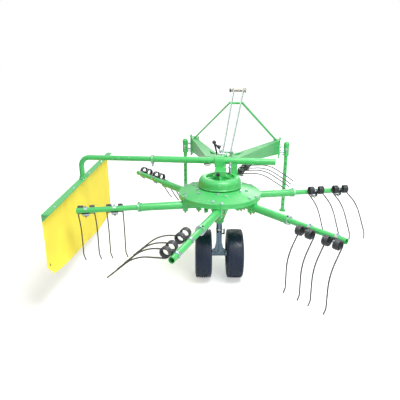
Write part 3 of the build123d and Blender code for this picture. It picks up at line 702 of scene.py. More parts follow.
class Shape:
    """Solid parts gathered into one piece."""

    SEAM = 1e-6
    # A bolt's washer and head, as shares of its thread's diameter, and its stud's root in metres.
    WASHER_RADIUS = 1.08
    WASHER_HEIGHT = 0.18
    HEAD_CORNER = 0.92
    HEAD_HEIGHT = 0.64
    HEAD_EDGE = 0.06
    STUD_ROOT = 0.001

    def __init__(self) -> None:
        """Start with nothing."""
        self.mesh = bmesh.new()

    def add(self, part: bmesh.types.BMesh, place: Matrix) -> None:
        """Close a part's seams, move it to its place and take it in.

        Args:
            part: the part, which is used up.
            place: where it goes.
        """
        bmesh.ops.remove_doubles(part, verts=part.verts, dist=self.SEAM)
        bmesh.ops.recalc_face_normals(part, faces=part.faces)
        part.transform(place)
        held = baked("held", part)
        self.mesh.from_mesh(held)
        bpy.data.meshes.remove(held)

    def turned(
        self, profile: list[tuple[float, float]], place: Matrix, steps: int = 32
    ) -> None:
        """Spin an open profile once round its own Z axis.

        Args:
            profile: radius and height of each point.
            place: where it goes.
            steps: how many flats stand for its roundness.
        """
        part = bmesh.new()
        points = [part.verts.new((radius, 0.0, height)) for radius, height in profile]
        edges = [part.edges.new(pair) for pair in zip(points, points[1:])]
        bmesh.ops.spin(
            part,
            geom=points + edges,
            cent=(0, 0, 0),
            axis=(0, 0, 1),
            dvec=(0, 0, 0),
            angle=math.tau,
            steps=steps,
            use_merge=True,
            use_duplicate=False,
        )
        self.add(part, place)

    def hoop(self, section: list[tuple[float, float]], place: Matrix, steps: int = 32) -> None:
        """Spin a section once round, and join its last point to its first."""
        self.turned(section + section[:1], place, steps)

    def band(
        self, radii: tuple[float, float], span: tuple[float, float], place: Matrix, steps: int
    ) -> None:
        """Add a plain ring.

        Args:
            radii: its inner and its outer radius.
            span: the heights of its two faces.
            place: where it goes.
            steps: how many flats stand for its roundness.
        """
        (inner, outer), (low, high) = radii, span
        self.hoop([(inner, low), (outer, low), (outer, high), (inner, high)], place, steps)

    def disc(self, radius: float, height: float, place: Matrix, steps: int) -> None:
        """Stand a plain cylinder on its place."""
        self.turned([(0, 0), (radius, 0), (radius, height), (0, height)], place, steps)

    def slab(
        self, outline: list[tuple[float, float]], height: float, place: Matrix, edge: float = 0.0
    ) -> None:
        """Raise a flat outline into a plate.

        Args:
            outline: its corners, in order.
            height: the plate's thickness along Z.
            place: where it goes.
            edge: how much is taken off each edge.
        """
        part = bmesh.new()
        face = part.faces.new([part.verts.new((x, y, 0.0)) for x, y in outline])
        grown = bmesh.ops.extrude_face_region(part, geom=[face])["geom"]
        raised = [item for item in grown if isinstance(item, bmesh.types.BMVert)]
        bmesh.ops.translate(part, verts=raised, vec=(0, 0, height))
        bmesh.ops.holes_fill(part, edges=part.edges, sides=0)
        if edge:
            bmesh.ops.bevel(
                part,
                geom=part.edges[:],
                offset=edge,
                segments=2,
                profile=0.5,
                affect="EDGES",
                material=-1,
            )
        self.add(part, place)

    def block(self, size: tuple[float, float, float], place: Matrix, edge: float = 0.001) -> None:
        """Add a block that stands on its place, centred in X and Y."""
        x, y = size[0] / 2, size[1] / 2
        self.slab([(-x, -y), (x, -y), (x, y), (-x, y)], size[2], place, edge)

    def bolt(self, place: Matrix, thread: float, washer: bool = True, stud: float = 0.0) -> None:
        """Add a hexagon head that stands on its place.

        Args:
            place: the seat's middle, with Z out of it.
            thread: the bolt's thread diameter.
            washer: whether a washer lies under the head.
            stud: how far the thread shows past the head, as on a nut.
        """
        lift = 0.0
        if washer:
            lift = thread * self.WASHER_HEIGHT
            self.disc(thread * self.WASHER_RADIUS, lift, place, 20)
        corner, tall = thread * self.HEAD_CORNER, thread * self.HEAD_HEIGHT
        outline = [
            (corner * math.cos(side * math.pi / 3), corner * math.sin(side * math.pi / 3))
            for side in range(6)
        ]
        self.slab(outline, tall, place @ at(0, 0, lift), thread * self.HEAD_EDGE)
        if stud:
            root = place @ at(0, 0, lift + tall - self.STUD_ROOT)
            self.disc(thread / 2, stud + self.STUD_ROOT, root, 14)

    def rod(self, start: Vector, end: Vector, radius: float, place: Matrix, sides: int = 12) -> None:
        """Add a straight round bar between two points of a place."""
        run = Vector(end) - Vector(start)
        self.add(Wire(Vector(start), run, radius, sides).run(run.length).end(), place)

    def piece(
        self,
        name: str,
        finish: Finish,
        body: str,
        replaces: tuple[str, ...] = (),
        smooth: float = 35.0,
    ) -> None:
        """Make the shape a piece of the scene.

        Args:
            name: the piece's name.
            finish: its finish.
            body: the body that it rides on.
            replaces: the nodes that it stands for.
            smooth: the angle, in degrees, under which edges are shaded smooth.
        """
        mesh = baked(name, self.mesh)
        mesh.set_sharp_from_angle(angle=math.radians(smooth))
        dress(put(name, mesh), finish, body, replaces)


def dress(
    made: bpy.types.Object, finish: Finish, body: str, replaces: tuple[str, ...] = ()
) -> None:
    """Give an object its finish and the body that it rides on.

    Args:
        made: the object.
        finish: its finish.
        body: the body that it rides on.
        replaces: the nodes that it stands for.
    """
    made.data.materials.append(finish.material())
    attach(made, body)
    if replaces:
        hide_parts(*replaces)
    LOG.info("%s: %d faces on %s", made.name, len(made.data.polygons), body)


# ---------------------------------------------------------------------------------------------
# Sub-assemblies
# ---------------------------------------------------------------------------------------------
# Radius and height of each point of the nut under a tine pair's plates.
TINE_NUT = [(0, 0), (0.0085, 0), (0.0080, 0.006), (0.0050, 0.008), (0.0036, 0.013), (0, 0.015)]


@dataclass
class TineArm:
    """The spring tines on one arm, what holds them, and the ring that stops the tube."""

    place: ArmPlace
    pairs: tuple[float, ...] = (0.672, 0.845)
    tube_radius: float = 0.01685
    wire_radius: float = 0.0039
    coil_radius: float = 0.0245
    coil_reach: float = 0.047
    coil_angle: float = math.radians(-15.0)
    coil_inner: float = 0.0175
    coil_outer: float = 0.0498
    coil_turn: float = math.radians(4 * 360.0 + 50.0)
    leg_upper: float = 0.160
    leg_lower: float = 0.194
    leg_bend: float = math.radians(36.0)
    leg_bend_radius: float = 0.23
    tip_length: float = 0.042
    tip_bend: float = math.radians(17.0)
    tip_bend_radius: float = 0.06
    ring_reach: float = 0.5153
    ring_length: float = 0.014
    ring_radii: tuple[float, float] = (0.0170, 0.0286)
    ring_bolt_turn: float = 1.2
    ring_bolt_seat: float = 0.0280
    saddle_radii: tuple[float, float] = (0.01725, 0.02035)
    saddle_width: float = 0.018
    saddle_steps: int = 7
    saddle_step: float = math.radians(9.0)
    clip_size: tuple[float, float, float] = (0.026, 0.028, 0.004)
    clip_rise: float = 0.0078
    lip_size: tuple[float, float, float] = (0.026, 0.004, 0.009)
    lip_spread: float = 0.012
    stack_gap: float = 0.0008

    def wire_seat(self, height: float) -> Vector:
        """Return where the pair's bar runs, at a height in the pair's own section."""
        reach = self.coil_reach - self.coil_radius
        return Vector(
            (reach * math.cos(self.coil_angle), reach * math.sin(self.coil_angle), height)
        )

    def tine(self, side: int) -> bmesh.types.BMesh:
        """Wind one coil and draw out its leg.

        Args:
            side: 1 for the tine nearer to the hub, -1 for the outer one.

        Returns:
            The tine, in its pair's own section.
        """
        leaving = self.coil_angle + 1.5 * math.pi
        heading = Vector((math.cos(leaving), math.sin(leaving), 0))
        wire = Wire(self.wire_seat(side * self.coil_inner), heading, self.wire_radius)
        climb = side * (self.coil_outer - self.coil_inner)
        wire.turn(UP, self.coil_radius, self.coil_turn, 92, climb)
        knee = self.leg_bend_radius * math.tan(self.leg_bend / 2)
        ankle = self.tip_bend_radius * math.tan(self.tip_bend / 2)
        wire.run(self.leg_upper - knee)
        wire.turn(-UP, self.leg_bend_radius, self.leg_bend, 8)
        wire.run(self.leg_lower - knee - ankle)
        inward = wire.heading.cross(UP).normalized()
        wire.turn(inward, self.tip_bend_radius, self.tip_bend, 4)
        wire.run(self.tip_length - ankle)
        return wire.end()

    def springs(self) -> None:
        """Make the arm's four tines and the bars that join them in pairs."""
        shape = Shape()
        near, far = self.wire_seat(-self.coil_inner), self.wire_seat(self.coil_inner)
        for reach in self.pairs:
            place = self.place.across(reach)
            for side in (-1, 1):
                shape.add(self.tine(side), place)
            shape.rod(near, far, self.wire_radius, place, 8)
        number = self.place.number
        shape.piece(f"spring_tines_{number}", SPRING, self.place.body, (f"tines_{number}",), 50.0)

    def saddle(self) -> list[tuple[float, float]]:
        """Work out the saddle's section, a thin arch over the tube.

        Returns:
            Its corners, in order.
        """
        inner, outer = self.saddle_radii
        steps = range(-self.saddle_steps, self.saddle_steps + 1)
        corners = [(outer, step) for step in steps] + [(inner, step) for step in reversed(steps)]
        return [
            (radius * math.sin(step * self.saddle_step), radius * math.cos(step * self.saddle_step))
            for radius, step in corners
        ]

    def holders(self) -> None:
        """Make the clip at each pair's bar, and the saddle, plates and nut round the tube."""
        clips, plates, nuts = Shape(), Shape(), Shape()
        tube = self.tube_radius
        stack = (
            (clips, (0.046, 0.024, 0.0022), 0.0006),
            (plates, (0.042, 0.020, 0.0130), 0.001),
            (clips, (0.040, 0.022, 0.0020), 0.0006),
        )
        for reach in self.pairs:
            across = self.place.across(reach)
            seat = across @ yaw(self.coil_angle) @ ALONG_X
            top = tube + self.clip_rise
            clips.block(self.clip_size, seat @ at(0, 0, top), 0.0012)
            for end in (-1, 1):
                clips.block(self.lip_size, seat @ at(0, end * self.lip_spread, tube - 0.001))
            plates.bolt(seat @ at(0, 0, top + self.clip_size[2]), 0.010, False, 0.003)
            rising = across.to_3x3() @ Vector((0, 1, 0))
            above = aimed(across.translation, rising, self.place.outward)
            arch = above @ yaw(math.pi / 2) @ at(0, self.saddle_width / 2, 0) @ ON_EDGE
            plates.slab(self.saddle(), self.saddle_width, arch)
            plates.bolt(above @ at(0, 0, tube + 0.002), 0.008, False, 0.005)
            below = above @ Matrix.Rotation(math.pi, 4, "X") @ at(0, 0, tube + self.stack_gap)
            for shape, size, edge in stack:
                shape.block(size, below, edge)
                below = below @ at(0, 0, size[2])
            nuts.turned(TINE_NUT, below, 20)
        number = self.place.number
        clips.piece(f"tine_clips_{number}", BLACK, self.place.body)
        plates.piece(f"tine_plates_{number}", ZINC, self.place.body)
        nuts.piece(f"tine_nuts_{number}", STEEL, self.place.body)

    def stop_ring(self) -> None:
        """Cap the ring that stops the tube in its sleeve, and bolt it."""
        ring, bolt = Shape(), Shape()
        inner, outer = self.ring_radii
        ring.hoop(
            [
                (inner, 0.0004),
                (inner, -0.0024),
                (outer - 0.0008, -0.0024),
                (outer, -0.0016),
                (outer, 0.0022),
                (outer - 0.0006, 0.0022),
                (outer - 0.0006, 0.0004),
            ],
            self.place.across(self.ring_reach + self.ring_length),
            40,
        )
        middle = self.place.across(self.ring_reach + self.ring_length / 2)
        turn = Vector((math.cos(self.ring_bolt_turn), math.sin(self.ring_bolt_turn), 0))
        head = middle.to_3x3() @ turn
        seat = aimed(middle.translation + head * self.ring_bolt_seat, head)
        bolt.bolt(seat, 0.006, False, 0.002)
        ring.piece(f"stop_ring_{self.place.number}", ZINC, self.place.body)
        bolt.piece(f"stop_bolt_{self.place.number}", BLACK, self.place.body)

    def build(self) -> None:
        """Build everything on the arm."""
        self.springs()
        self.holders()
        self.stop_ring()


@dataclass
class Rotor:
    """The disc's bolts and rim bead, the brackets' nuts, the sleeves' collars, and painted shade in the sleeves'
    mouths.
    """

    bracket_reaches: tuple[float, ...] = (0.150, 0.235)
    bracket_foot: float = -0.0322
    bolt_trail: float = 0.027
    bolt_thread: float = 0.0095
    flat_radius: float = 0.138
    flat_top: float = 0.640
    slope: float = 0.264
    rim_radius: float = 0.263
    rim_top: float = 0.607
    rim_height: float = 0.029
    sleeve_radius: float = 0.02415
    sleeve_end: float = 0.515
    gap_shade_bore: float = 0.0169

    def bracket_spots(self, trail: float, rise: float) -> list[Vector]:
        """List the places on both sides of every bracket.

        Args:
            trail: how far they lie to each side of the arm's axis.
            rise: how far they lie above it.

        Returns:
            The places, arm by arm.
        """
        return [
            arm.across(reach, False) @ Vector((side * trail, rise, 0))
            for arm in ARMS
            for reach in self.bracket_reaches
            for side in (-1, 1)
        ]

    def bolts(self) -> None:
        """Set the bracket bolts on the disc, square to its slope."""
        shape = Shape()
        for spot in self.bracket_spots(self.bolt_trail, 0.0):
            out = spot - ROTOR_CENTRE
            out.z = 0.0
            drop = max(out.length - self.flat_radius, 0.0) * self.slope
            tilt = self.slope if drop else 0.0
            spot.z = self.flat_top - drop
            shape.bolt(aimed(spot, UP + out.normalized() * tilt), self.bolt_thread)
        shape.piece("disc_bolts", ZINC, "rotor")

    def collars(self) -> None:
        """Put a rolled collar round each sleeve's end, and a black ring in its mouth as painted shade of the gap
        round the tube.
        """
        rings, gap_shades = Shape(), Shape()
        inner, outer = self.sleeve_radius - 0.001, self.sleeve_radius + 0.0030
        collar = [(inner, 0.0005), (outer - 0.0012, 0.0005), (outer, 0.0020), (outer, 0.0110)]
        collar += [(outer - 0.0014, 0.0128), (inner, 0.0128)]
        for arm in ARMS:
            place = arm.across(self.sleeve_end, False)
            rings.hoop(collar, place, 36)
            # A black ring across the gap between sleeve and tube: painted shade of the gap.
            gap_shades.band((self.gap_shade_bore, inner), (0.0, 0.004), place, 36)
        rings.piece("sleeve_collars", GREEN, "rotor")
        gap_shades.piece("sleeve_gap_shades", BLACK, "rotor")

    def rim_trim(self) -> None:
        """Roll a bead round the disc's lower rim and put the brackets' yellow nuts below it."""
        bead, nuts = Shape(), Shape()
        rim, low = self.rim_radius, self.rim_top - self.rim_height
        section = [(rim - 0.004, low), (rim + 0.0015, low), (rim + 0.0025, low + 0.0015)]
        section += [(rim + 0.0025, low + 0.0045), (rim - 0.001, low + 0.0060)]
        bead.hoop(section, ROTOR, 96)
        for foot in self.bracket_spots(self.bolt_trail / 2, self.bracket_foot):
            nuts.bolt(aimed(foot, -UP), self.bolt_thread, True, 0.009)
        bead.piece("rim_bead", GREEN, "rotor")
        nuts.piece("bracket_nuts", GOLD, "rotor")

    def build(self) -> None:
        """Build everything on the disc."""
        self.bolts()
        self.collars()
        self.rim_trim()


@dataclass
class Gearbox:
    """The dome's flange, bolts and lock cylinder, the splined shaft and the boom's clamp."""

    dome_radius: float = 0.135
    dome_base: float = 0.6453
    recess_floor: float = 0.690
    recess_bolts_radius: float = 0.071
    lock_foot: tuple[float, float, float] = (0.069, 0.058, 0.7055)
    lock_nut_rise: float = 0.040
    knob_seat: Vector = field(default_factory=lambda: Vector((-0.014, -0.046, 0.735)))
    shaft_start: float = 0.205
    shaft_length: float = 0.075
    shaft_height: float = 0.677
    shaft_radius: float = 0.0174
    spline_depth: float = 0.0032
    spline_half: float = 0.0042
    spline_runs: tuple[tuple[float, float], ...] = ((0.012, 0.050), (0.058, 0.074))
    boom_height: float = 0.787
    boom_radius: float = 0.0212
    bracket_half: float = 0.030
    clamp_x: float = -0.445
    clamp_lift: float = 0.0052

    def trim(self) -> None:
        """Add the dome's foot flange and the welds where the boom meets its bracket."""
        shape = Shape()
        wide, foot = self.dome_radius, self.dome_base
        flange = [(wide - 0.002, foot), (wide + 0.0035, foot), (wide + 0.0045, foot + 0.0012)]
        flange += [(wide + 0.0045, foot + 0.0065), (wide + 0.0015, foot + 0.0090)]
        flange += [(wide - 0.002, foot + 0.0090)]
        shape.hoop(flange, ROTOR, 96)
        tube = self.boom_radius
        for way in (-1, 1):
            place = BOOM @ at(way * self.bracket_half, 0, self.boom_height) @ ALONG_X
            weld = [(tube - 0.001, 0.0), (tube + 0.0045, 0.0)]
            weld += [(tube + 0.0035, way * 0.0030), (tube, way * 0.0050)]
            shape.hoop(weld, place, 32)
        shape.piece("dome_trim", GREEN, "rotor_unit")

    def bolts(self) -> None:
        """Set the bolts on the dome's sunk floor, and the lock cylinder with its nut."""
        shape = Shape()
        for turn in range(6):
            angle = turn * math.pi / 3
            x, y = math.cos(angle), math.sin(angle)
            wide = self.recess_bolts_radius
            shape.bolt(ROTOR @ at(wide * x, wide * y, self.recess_floor), 0.010)
        lock = ROTOR @ at(*self.lock_foot)
        cylinder = [(0, 0), (0.0100, 0), (0.0100, 0.052), (0.0080, 0.054)]
        cylinder += [(0.0080, 0.076), (0.0062, 0.079), (0, 0.079)]
        shape.turned(cylinder, lock, 24)
        shape.bolt(lock @ at(0, 0, self.lock_nut_rise), 0.015, False)
        shape.piece("gearbox_bolts", ZINC, "rotor_unit")

    def knob(self) -> None:
        """Add the dark knob on the front of the boom's bracket."""
        shape = Shape()
        profile = [(0, -0.002), (0.006, -0.002), (0.006, 0.006), (0.0115, 0.008)]
        profile += [(0.0125, 0.012), (0.0115, 0.018), (0.007, 0.021), (0, 0.0215)]
        shape.turned(profile, aimed(ROTOR @ self.knob_seat, Vector((0, -1, 0))), 24)
        shape.piece("bracket_knob", BLACK, "rotor_unit")

    def shaft(self) -> None:
        """Cut the input shaft's splines and its locking groove."""
        shape = Shape()
        root = Vector((0, self.shaft_start, self.shaft_height))
        place = aimed(ROTOR @ root, Vector((0, 1, 0)))
        crest, length = self.shaft_radius, self.shaft_length
        core = crest - self.spline_depth
        profile = [(0, 0), (crest, 0), (crest, 0.010), (core, 0.013)]
        profile += [(core, length - 0.001), (core - 0.001, length), (0, length)]
        shape.turned(profile, place, 32)
        half, root_radius = self.spline_half, core - 0.001
        tooth = [(root_radius, -half), (crest, -half), (crest, half), (root_radius, half)]
        for turn in range(6):
            around = place @ yaw(turn * math.pi / 3)
            for low, high in self.spline_runs:
                shape.slab(tooth, high - low, around @ at(0, 0, low), 0.0005)
        shape.piece("splined_shaft", STEEL, "rotor_unit", ("input_shaft",))

    def boom_clamp(self) -> None:
        """Put the plated band and its tommy bolt at the boom's left end."""
        shape = Shape()
        wide = self.boom_radius + self.clamp_lift
        middle = BOOM @ at(self.clamp_x, 0, self.boom_height) @ ALONG_X
        shape.band((wide - 0.001, wide + 0.0016), (-0.004, 0.004), middle, 36)
        foot = BOOM @ Vector((self.clamp_x, 0, self.boom_height - wide))
        shape.bolt(aimed(foot, -UP), 0.011, False, 0.016)
        bar, half = foot - UP * 0.021, Vector((0, 0.016, 0))
        shape.rod(bar - half, bar + half, 0.003, Matrix())
        shape.piece("boom_clamp", ZINC, "rotor_unit")

    def build(self) -> None:
        """Build everything on the gearbox."""
        self.trim()
        self.bolts()
        self.knob()
        self.shaft()
        self.boom_clamp()


# Radius and width of each point of a tyre's wall, and of a rim's barrel, dish and hub.
TYRE_WALL = [
    (0.0775, 0.0400), (0.0845, 0.0425), (0.0900, 0.0452), (0.0915, 0.0490), (0.1010, 0.0522),
    (0.1030, 0.0540), (0.1050, 0.0532), (0.1200, 0.0550), (0.1340, 0.0548), (0.1460, 0.0528),
    (0.1480, 0.0532), (0.1500, 0.0515), (0.1575, 0.0502), (0.1610, 0.0472), (0.1624, 0.0430),
]
RIM_BARREL = [
    (0.0870, -0.0430), (0.0880, -0.0410), (0.0778, -0.0390), (0.0775, 0.0390),
    (0.0880, 0.0410), (0.0870, 0.0430), (0.0745, 0.0400), (0.0745, -0.0400),
]
RIM_DISH = [
    (0.0260, 0.0110), (0.0400, 0.0120), (0.0520, 0.0070), (0.0620, -0.0020), (0.0745, -0.0040),
    (0.0745, -0.0075), (0.0600, -0.0060), (0.0500, 0.0030), (0.0390, 0.0080), (0.0260, 0.0070),
]
RIM_HUB = [
    (0.0129, -0.0480), (0.0240, -0.0480), (0.0262, -0.0450),
    (0.0262, 0.0230), (0.0235, 0.0275), (0.0129, 0.0275),
]


@dataclass
class Undercarriage:
    """The two ribbed tyres, their rims, and the welds and collars on the leg."""

    track: float = 0.209
    tyre_radius: float = 0.165
    grooves: tuple[float, ...] = (-0.036, -0.024, -0.012, 0.0, 0.012, 0.024, 0.036)
    groove_half: float = 0.0017
    groove_depth: float = 0.0055
    crown: float = 1.2
    nut_ring: float = 0.0400
    nut_seat: float = 0.0115
    axle_radius: float = 0.0165
    axle_collar_x: float = 0.048
    weld_radius: float = 0.0022
    weld_spread: float = 0.0048
    weld_halves: tuple[float, float] = (0.053, 0.028)
    leg_ring_heights: tuple[float, ...] = (0.3400, 0.3920)

    def tread(self) -> list[tuple[float, float]]:
        """Work down the tyre's outline from one bead to the other.

        Returns:
            Radius and width of each point of the outline.
        """
        ribs = []
        for middle in self.grooves:
            for step, depth in ((-1.6, 0), (-1, 1), (1, 1), (1.6, 0)):
                x = middle + step * self.groove_half
                ribs.append((self.tyre_radius - self.crown * x * x - depth * self.groove_depth, x))
        return [(radius, -x) for radius, x in TYRE_WALL] + ribs + TYRE_WALL[::-1]

    def hub(self, side: int) -> Matrix:
        """Return the middle of one wheel."""
        return ROTOR @ at(side * self.track / 2, 0, self.tyre_radius)

    def tyres(self) -> None:
        """Spin both tyres."""
        for side, word in SIDES:
            shape = Shape()
            shape.hoop(self.tread(), self.hub(side) @ ALONG_X, 96)
            shape.piece(f"ribbed_tyre_{word}", RUBBER, "wheels", (f"tyre_{word}",), 28.0)

    def rims(self) -> None:
        """Press both rims, with a dished disc, a hub and five nuts."""
        for side, word in SIDES:
            shape = Shape()
            outward = aimed(self.hub(side).translation, Vector((side, 0, 0)))
            for section, steps in ((RIM_BARREL, 56), (RIM_DISH, 56), (RIM_HUB, 40)):
                shape.hoop(section, outward, steps)
            for turn in range(5):
                seat = yaw(turn * math.tau / 5) @ at(self.nut_ring, 0, self.nut_seat)
                shape.bolt(outward @ seat, 0.009, True, 0.004)
            shape.piece(f"pressed_rim_{word}", ZINC, "wheels", (f"rim_{word}",))

    def leg(self) -> None:
        """Lay welds along the leg's foot, and put collars on the axle and rings on the leg."""
        shape = Shape()
        top = UP * (self.tyre_radius + self.axle_radius)
        along_x, along_y = Vector((1, 0, 0)), Vector((0, 1, 0))
        for half, along, aside in zip(self.weld_halves, (along_x, along_y), (along_y, along_x)):
            for side in (-1, 1):
                middle = top + aside * (side * self.weld_spread)
                ends = middle - along * half, middle + along * half
                shape.rod(*ends, self.weld_radius, ROTOR, 8)
        for side in (-1, 1):
            place = ROTOR @ at(side * self.axle_collar_x, 0, self.tyre_radius) @ ALONG_X
            shape.band((self.axle_radius, self.axle_radius + 0.003), (-0.003, 0.003), place, 32)
        for low in self.leg_ring_heights:
            shape.band((0.0185, 0.0225), (0.0, 0.008), ROTOR @ at(0, 0, low), 32)
        shape.piece("leg_welds", ZINC, "rotor_unit")

    def build(self) -> None:
        """Build the tyres, rims and welds."""
        self.tyres()
        self.rims()
        self.leg()


# The outline of a lug at a foot of the mast.
MAST_LUG = [(0, -0.026), (0.018, -0.026), (0.033, -0.014), (0.033, 0.014), (0.018, 0.026), (0, 0.026)]


@dataclass
class Headstock:
    """Pins, clips, nuts and pads on the beams, the stands and the mast."""

    plate_face: float = 0.415
    hitch_reach: float = 1.130
    hitch_pin_heights: tuple[float, ...] = (0.630, 0.580)
    clip_radius: float = 0.0125
    stand_x: float = 0.475
    leg_radius: float = 0.017
    hole_rows: int = 9
    hole_low: float = 0.07
    hole_pitch: float = 0.05
    sleeve_radius: float = 0.02415
    peg_height: float = 0.605
    collar_heights: tuple[float, ...] = (0.545, 0.640)
    mast_reach: float = 1.090
    mast_shift: float = 0.022
    top_pin_height: float = 1.130
    lug_x: float = 0.406
    lug_height: float = 0.6895
    stay_foot: tuple[float, float] = (0.120, 0.786)
    stay_nut_x: float = 0.0385
    swivel_top: float = 0.8043
    hook_foot: tuple[float, float] = (0.150, 0.755)
    grip_foot: Vector = field(default_factory=lambda: Vector((-0.020, 0.100, 0.820)))
    grip_top: Vector = field(default_factory=lambda: Vector((-0.064, 0.100, 0.846)))
    pad_foot: tuple[float, float, float] = (-0.150, 0.360, 0.634)
    pad_size: tuple[float, float, float] = (0.042, 0.048, 0.036)
    strap_start: Vector = field(default_factory=lambda: Vector((-0.174, 0.360, 0.700)))
    strap_side: float = 0.066
    strap_foot: float = 0.024
    strap_bend: float = 0.012

    def hitch(self) -> None:
        """Add the pins' shoulder rings and their spring rings."""
        shape = Shape()
        for side in (-1, 1):
            out = Vector((side, 0, 0))
            for height in self.hitch_pin_heights:
                seat = Vector((side * self.plate_face, self.hitch_reach, height))
                shoulder = [(0, 0), (0.0165, 0), (0.0155, 0.0035), (0, 0.0035)]
                shape.turned(shoulder, HEAD @ aimed(seat, out), 28)
                start = seat + out * 0.008 + UP * self.clip_radius
                loop = Wire(start, Vector((0, 1, 0)), 0.0013, 6)
                loop.turn(out * side, self.clip_radius, math.tau * 0.97, 22)
                shape.add(loop.end(), HEAD)
        shape.piece("hitch_rings", ZINC, "headstock")

    def leg_holes(self, side: int, word: str) -> None:
        """Add black discs down the front and the back of one stand's leg, as painted shade of its peg holes."""
        shape = Shape()
        for row in range(self.hole_rows):
            for way in (-1, 1):
                height = self.hole_low + row * self.hole_pitch
                reach = self.hitch_reach + way * (self.leg_radius - 0.0012)
                seat = Vector((side * self.stand_x, reach, height))
                # Each hole is a thin black disc on the leg: painted shade, with no hole cut.
                shape.disc(0.0055, 0.0016, HEAD @ aimed(seat, Vector((0, way, 0))), 16)
        shape.piece(f"stand_hole_shades_{word}", BLACK, f"stand_{word}")

    def sleeve_peg(self, side: int, word: str) -> None:
        """Put the pin through one stand's sleeve, with its wire clip."""
        shape = Shape()
        middle = Vector((side * self.stand_x, self.hitch_reach, self.peg_height))
        back, front = Vector((0, -1, 0)), Vector((0, 1, 0))
        seat = middle + back * self.sleeve_radius
        shape.bolt(HEAD @ aimed(seat + front * 0.001, back), 0.011, True, 0.012)
        shape.bolt(HEAD @ aimed(middle + front * (self.sleeve_radius - 0.001), front), 0.011)
        clip = Wire(seat + Vector((0.004, -0.016, 0.004)), -UP, 0.0014, 6)
        clip.run(0.020).turn(front, 0.005, math.pi, 8).run(0.022)
        clip.turn(front, 0.004, math.pi * 0.8, 7).run(0.006)
        shape.add(clip.end(), HEAD)
        shape.piece(f"stand_peg_{word}", ZINC, "headstock")

    def sleeve_collars(self, side: int, word: str) -> None:
        """Roll a collar at both ends of one stand's sleeve."""
        shape = Shape()
        inner, outer = self.sleeve_radius - 0.001, self.sleeve_radius + 0.002
        for low in self.collar_heights:
            place = HEAD @ at(side * self.stand_x, self.hitch_reach, low)
            shape.hoop([(inner, 0), (outer, 0.001), (outer, 0.009), (inner, 0.010)], place, 36)
        shape.piece(f"stand_collars_{word}", GREEN, "headstock")

    def top_pin(self) -> None:
        """Add the top pin's washers, its round head and the cross pin in its tail."""
        shape = Shape()
        middle = Vector((self.mast_shift, self.mast_reach, self.top_pin_height))
        right = Vector((1, 0, 0))
        for side in (-1, 1):
            seat = HEAD @ aimed(middle + right * (side * 0.0475), right * side)
            shape.band((0.0126, 0.0210), (0, 0.003), seat, 30)
        head = [(0, 0), (0.0150, 0), (0.0160, 0.002), (0.0160, 0.009), (0.0140, 0.012), (0, 0.012)]
        shape.turned(head, HEAD @ aimed(middle - right * 0.0675, -right), 30)
        tail = middle + right * 0.062
        shape.rod(tail - UP * 0.019, tail + UP * 0.019, 0.0032, HEAD)
        shape.piece("top_pin_fittings", BLACK, "headstock")

    def lugs(self) -> None:
        """Bolt a lug to each foot of the mast."""
        shape = Shape()
        for side in (-1, 1):
            foot = Vector((side * self.lug_x, self.mast_reach, self.lug_height))
            place = HEAD @ aimed(foot, Vector((side, 0, 0)), UP)
            shape.slab(MAST_LUG, 0.007, place, 0.001)
            shape.bolt(place @ at(0.018, 0, 0.007), 0.009)
        shape.piece("mast_lugs", GREEN, "headstock")

    def clevis(self) -> None:
        """Add the clevis's nuts, the swivel pin's grease point and two wire hooks."""
        shape = Shape()
        for side in (-1, 1):
            seat = Vector((self.mast_shift + side * self.stay_nut_x, *self.stay_foot))
            shape.bolt(HEAD @ aimed(seat, Vector((side, 0, 0))), 0.013, True, 0.004)
        point = [(0, 0), (0.0045, 0), (0.0045, 0.006), (0.002, 0.009), (0, 0.009)]
        shape.turned(point, HEAD @ at(0, 0, self.swivel_top), 12)
        for x, rise, bend in ((-0.032, 0.058, 1), (0.082, 0.030, -1)):
            hook = Wire(Vector((x, *self.hook_foot)), UP, 0.0022, 8)
            hook.run(rise).turn(Vector((0, bend, 0)), 0.015, math.pi * 0.95, 10).run(0.016)
            shape.add(hook.end(), HEAD)
        shape.piece("clevis_fittings", ZINC, "headstock")

    def grip(self) -> None:
        """Put the black grip, with its thicker foot and collar, on the swivel's lever."""
        shape = Shape()
        foot, run = self.grip_foot, self.grip_top - self.grip_foot
        shape.rod(foot, foot + run, 0.0075, HEAD, 16)
        shape.rod(foot, foot + run * 0.45, 0.0120, HEAD, 16)
        collar = [(0, 0), (0.0125, 0), (0.0140, 0.004), (0.0140, 0.009), (0.0125, 0.013), (0, 0.013)]
        shape.turned(collar, HEAD @ aimed(foot, run), 24)
        shape.piece("lever_grip", BLACK, "headstock")

    def shaft_rest(self) -> None:
        """Hang the padded rest for the drive shaft under the left beam."""
        pad, strap = Shape(), Shape()
        pad.block(self.pad_size, HEAD @ at(*self.pad_foot), 0.005)
        pad.piece("shaft_rest_pad", PAD, "headstock")
        bend = Vector((0, -1, 0)), self.strap_bend, math.pi / 2
        wire = Wire(self.strap_start, -UP, 0.0035, 10)
        wire.run(self.strap_side).turn(*bend).run(self.strap_foot)
        wire.turn(*bend).run(self.strap_side)
        strap.add(wire.end(), HEAD)
        strap.piece("shaft_rest_strap", STEEL, "headstock")

    def build(self) -> None:
        """Build everything on the headstock."""
        self.hitch()
        for side, word in SIDES:
            self.leg_holes(side, word)
            self.sleeve_peg(side, word)
            self.sleeve_collars(side, word)
        self.top_pin()
        self.lugs()
        self.clevis()
        self.grip()
        self.shaft_rest()


# How the cloth hangs: the simulation's settings, by name.
CLOTH_SETTINGS = {
    "quality": 6,
    "mass": 0.5,
    "tension_stiffness": 80.0,
    "compression_stiffness": 80.0,
    "shear_stiffness": 30.0,
    "bending_stiffness": 2.5,
    "air_damping": 2.0,
    "vertex_group_mass": "held",
}


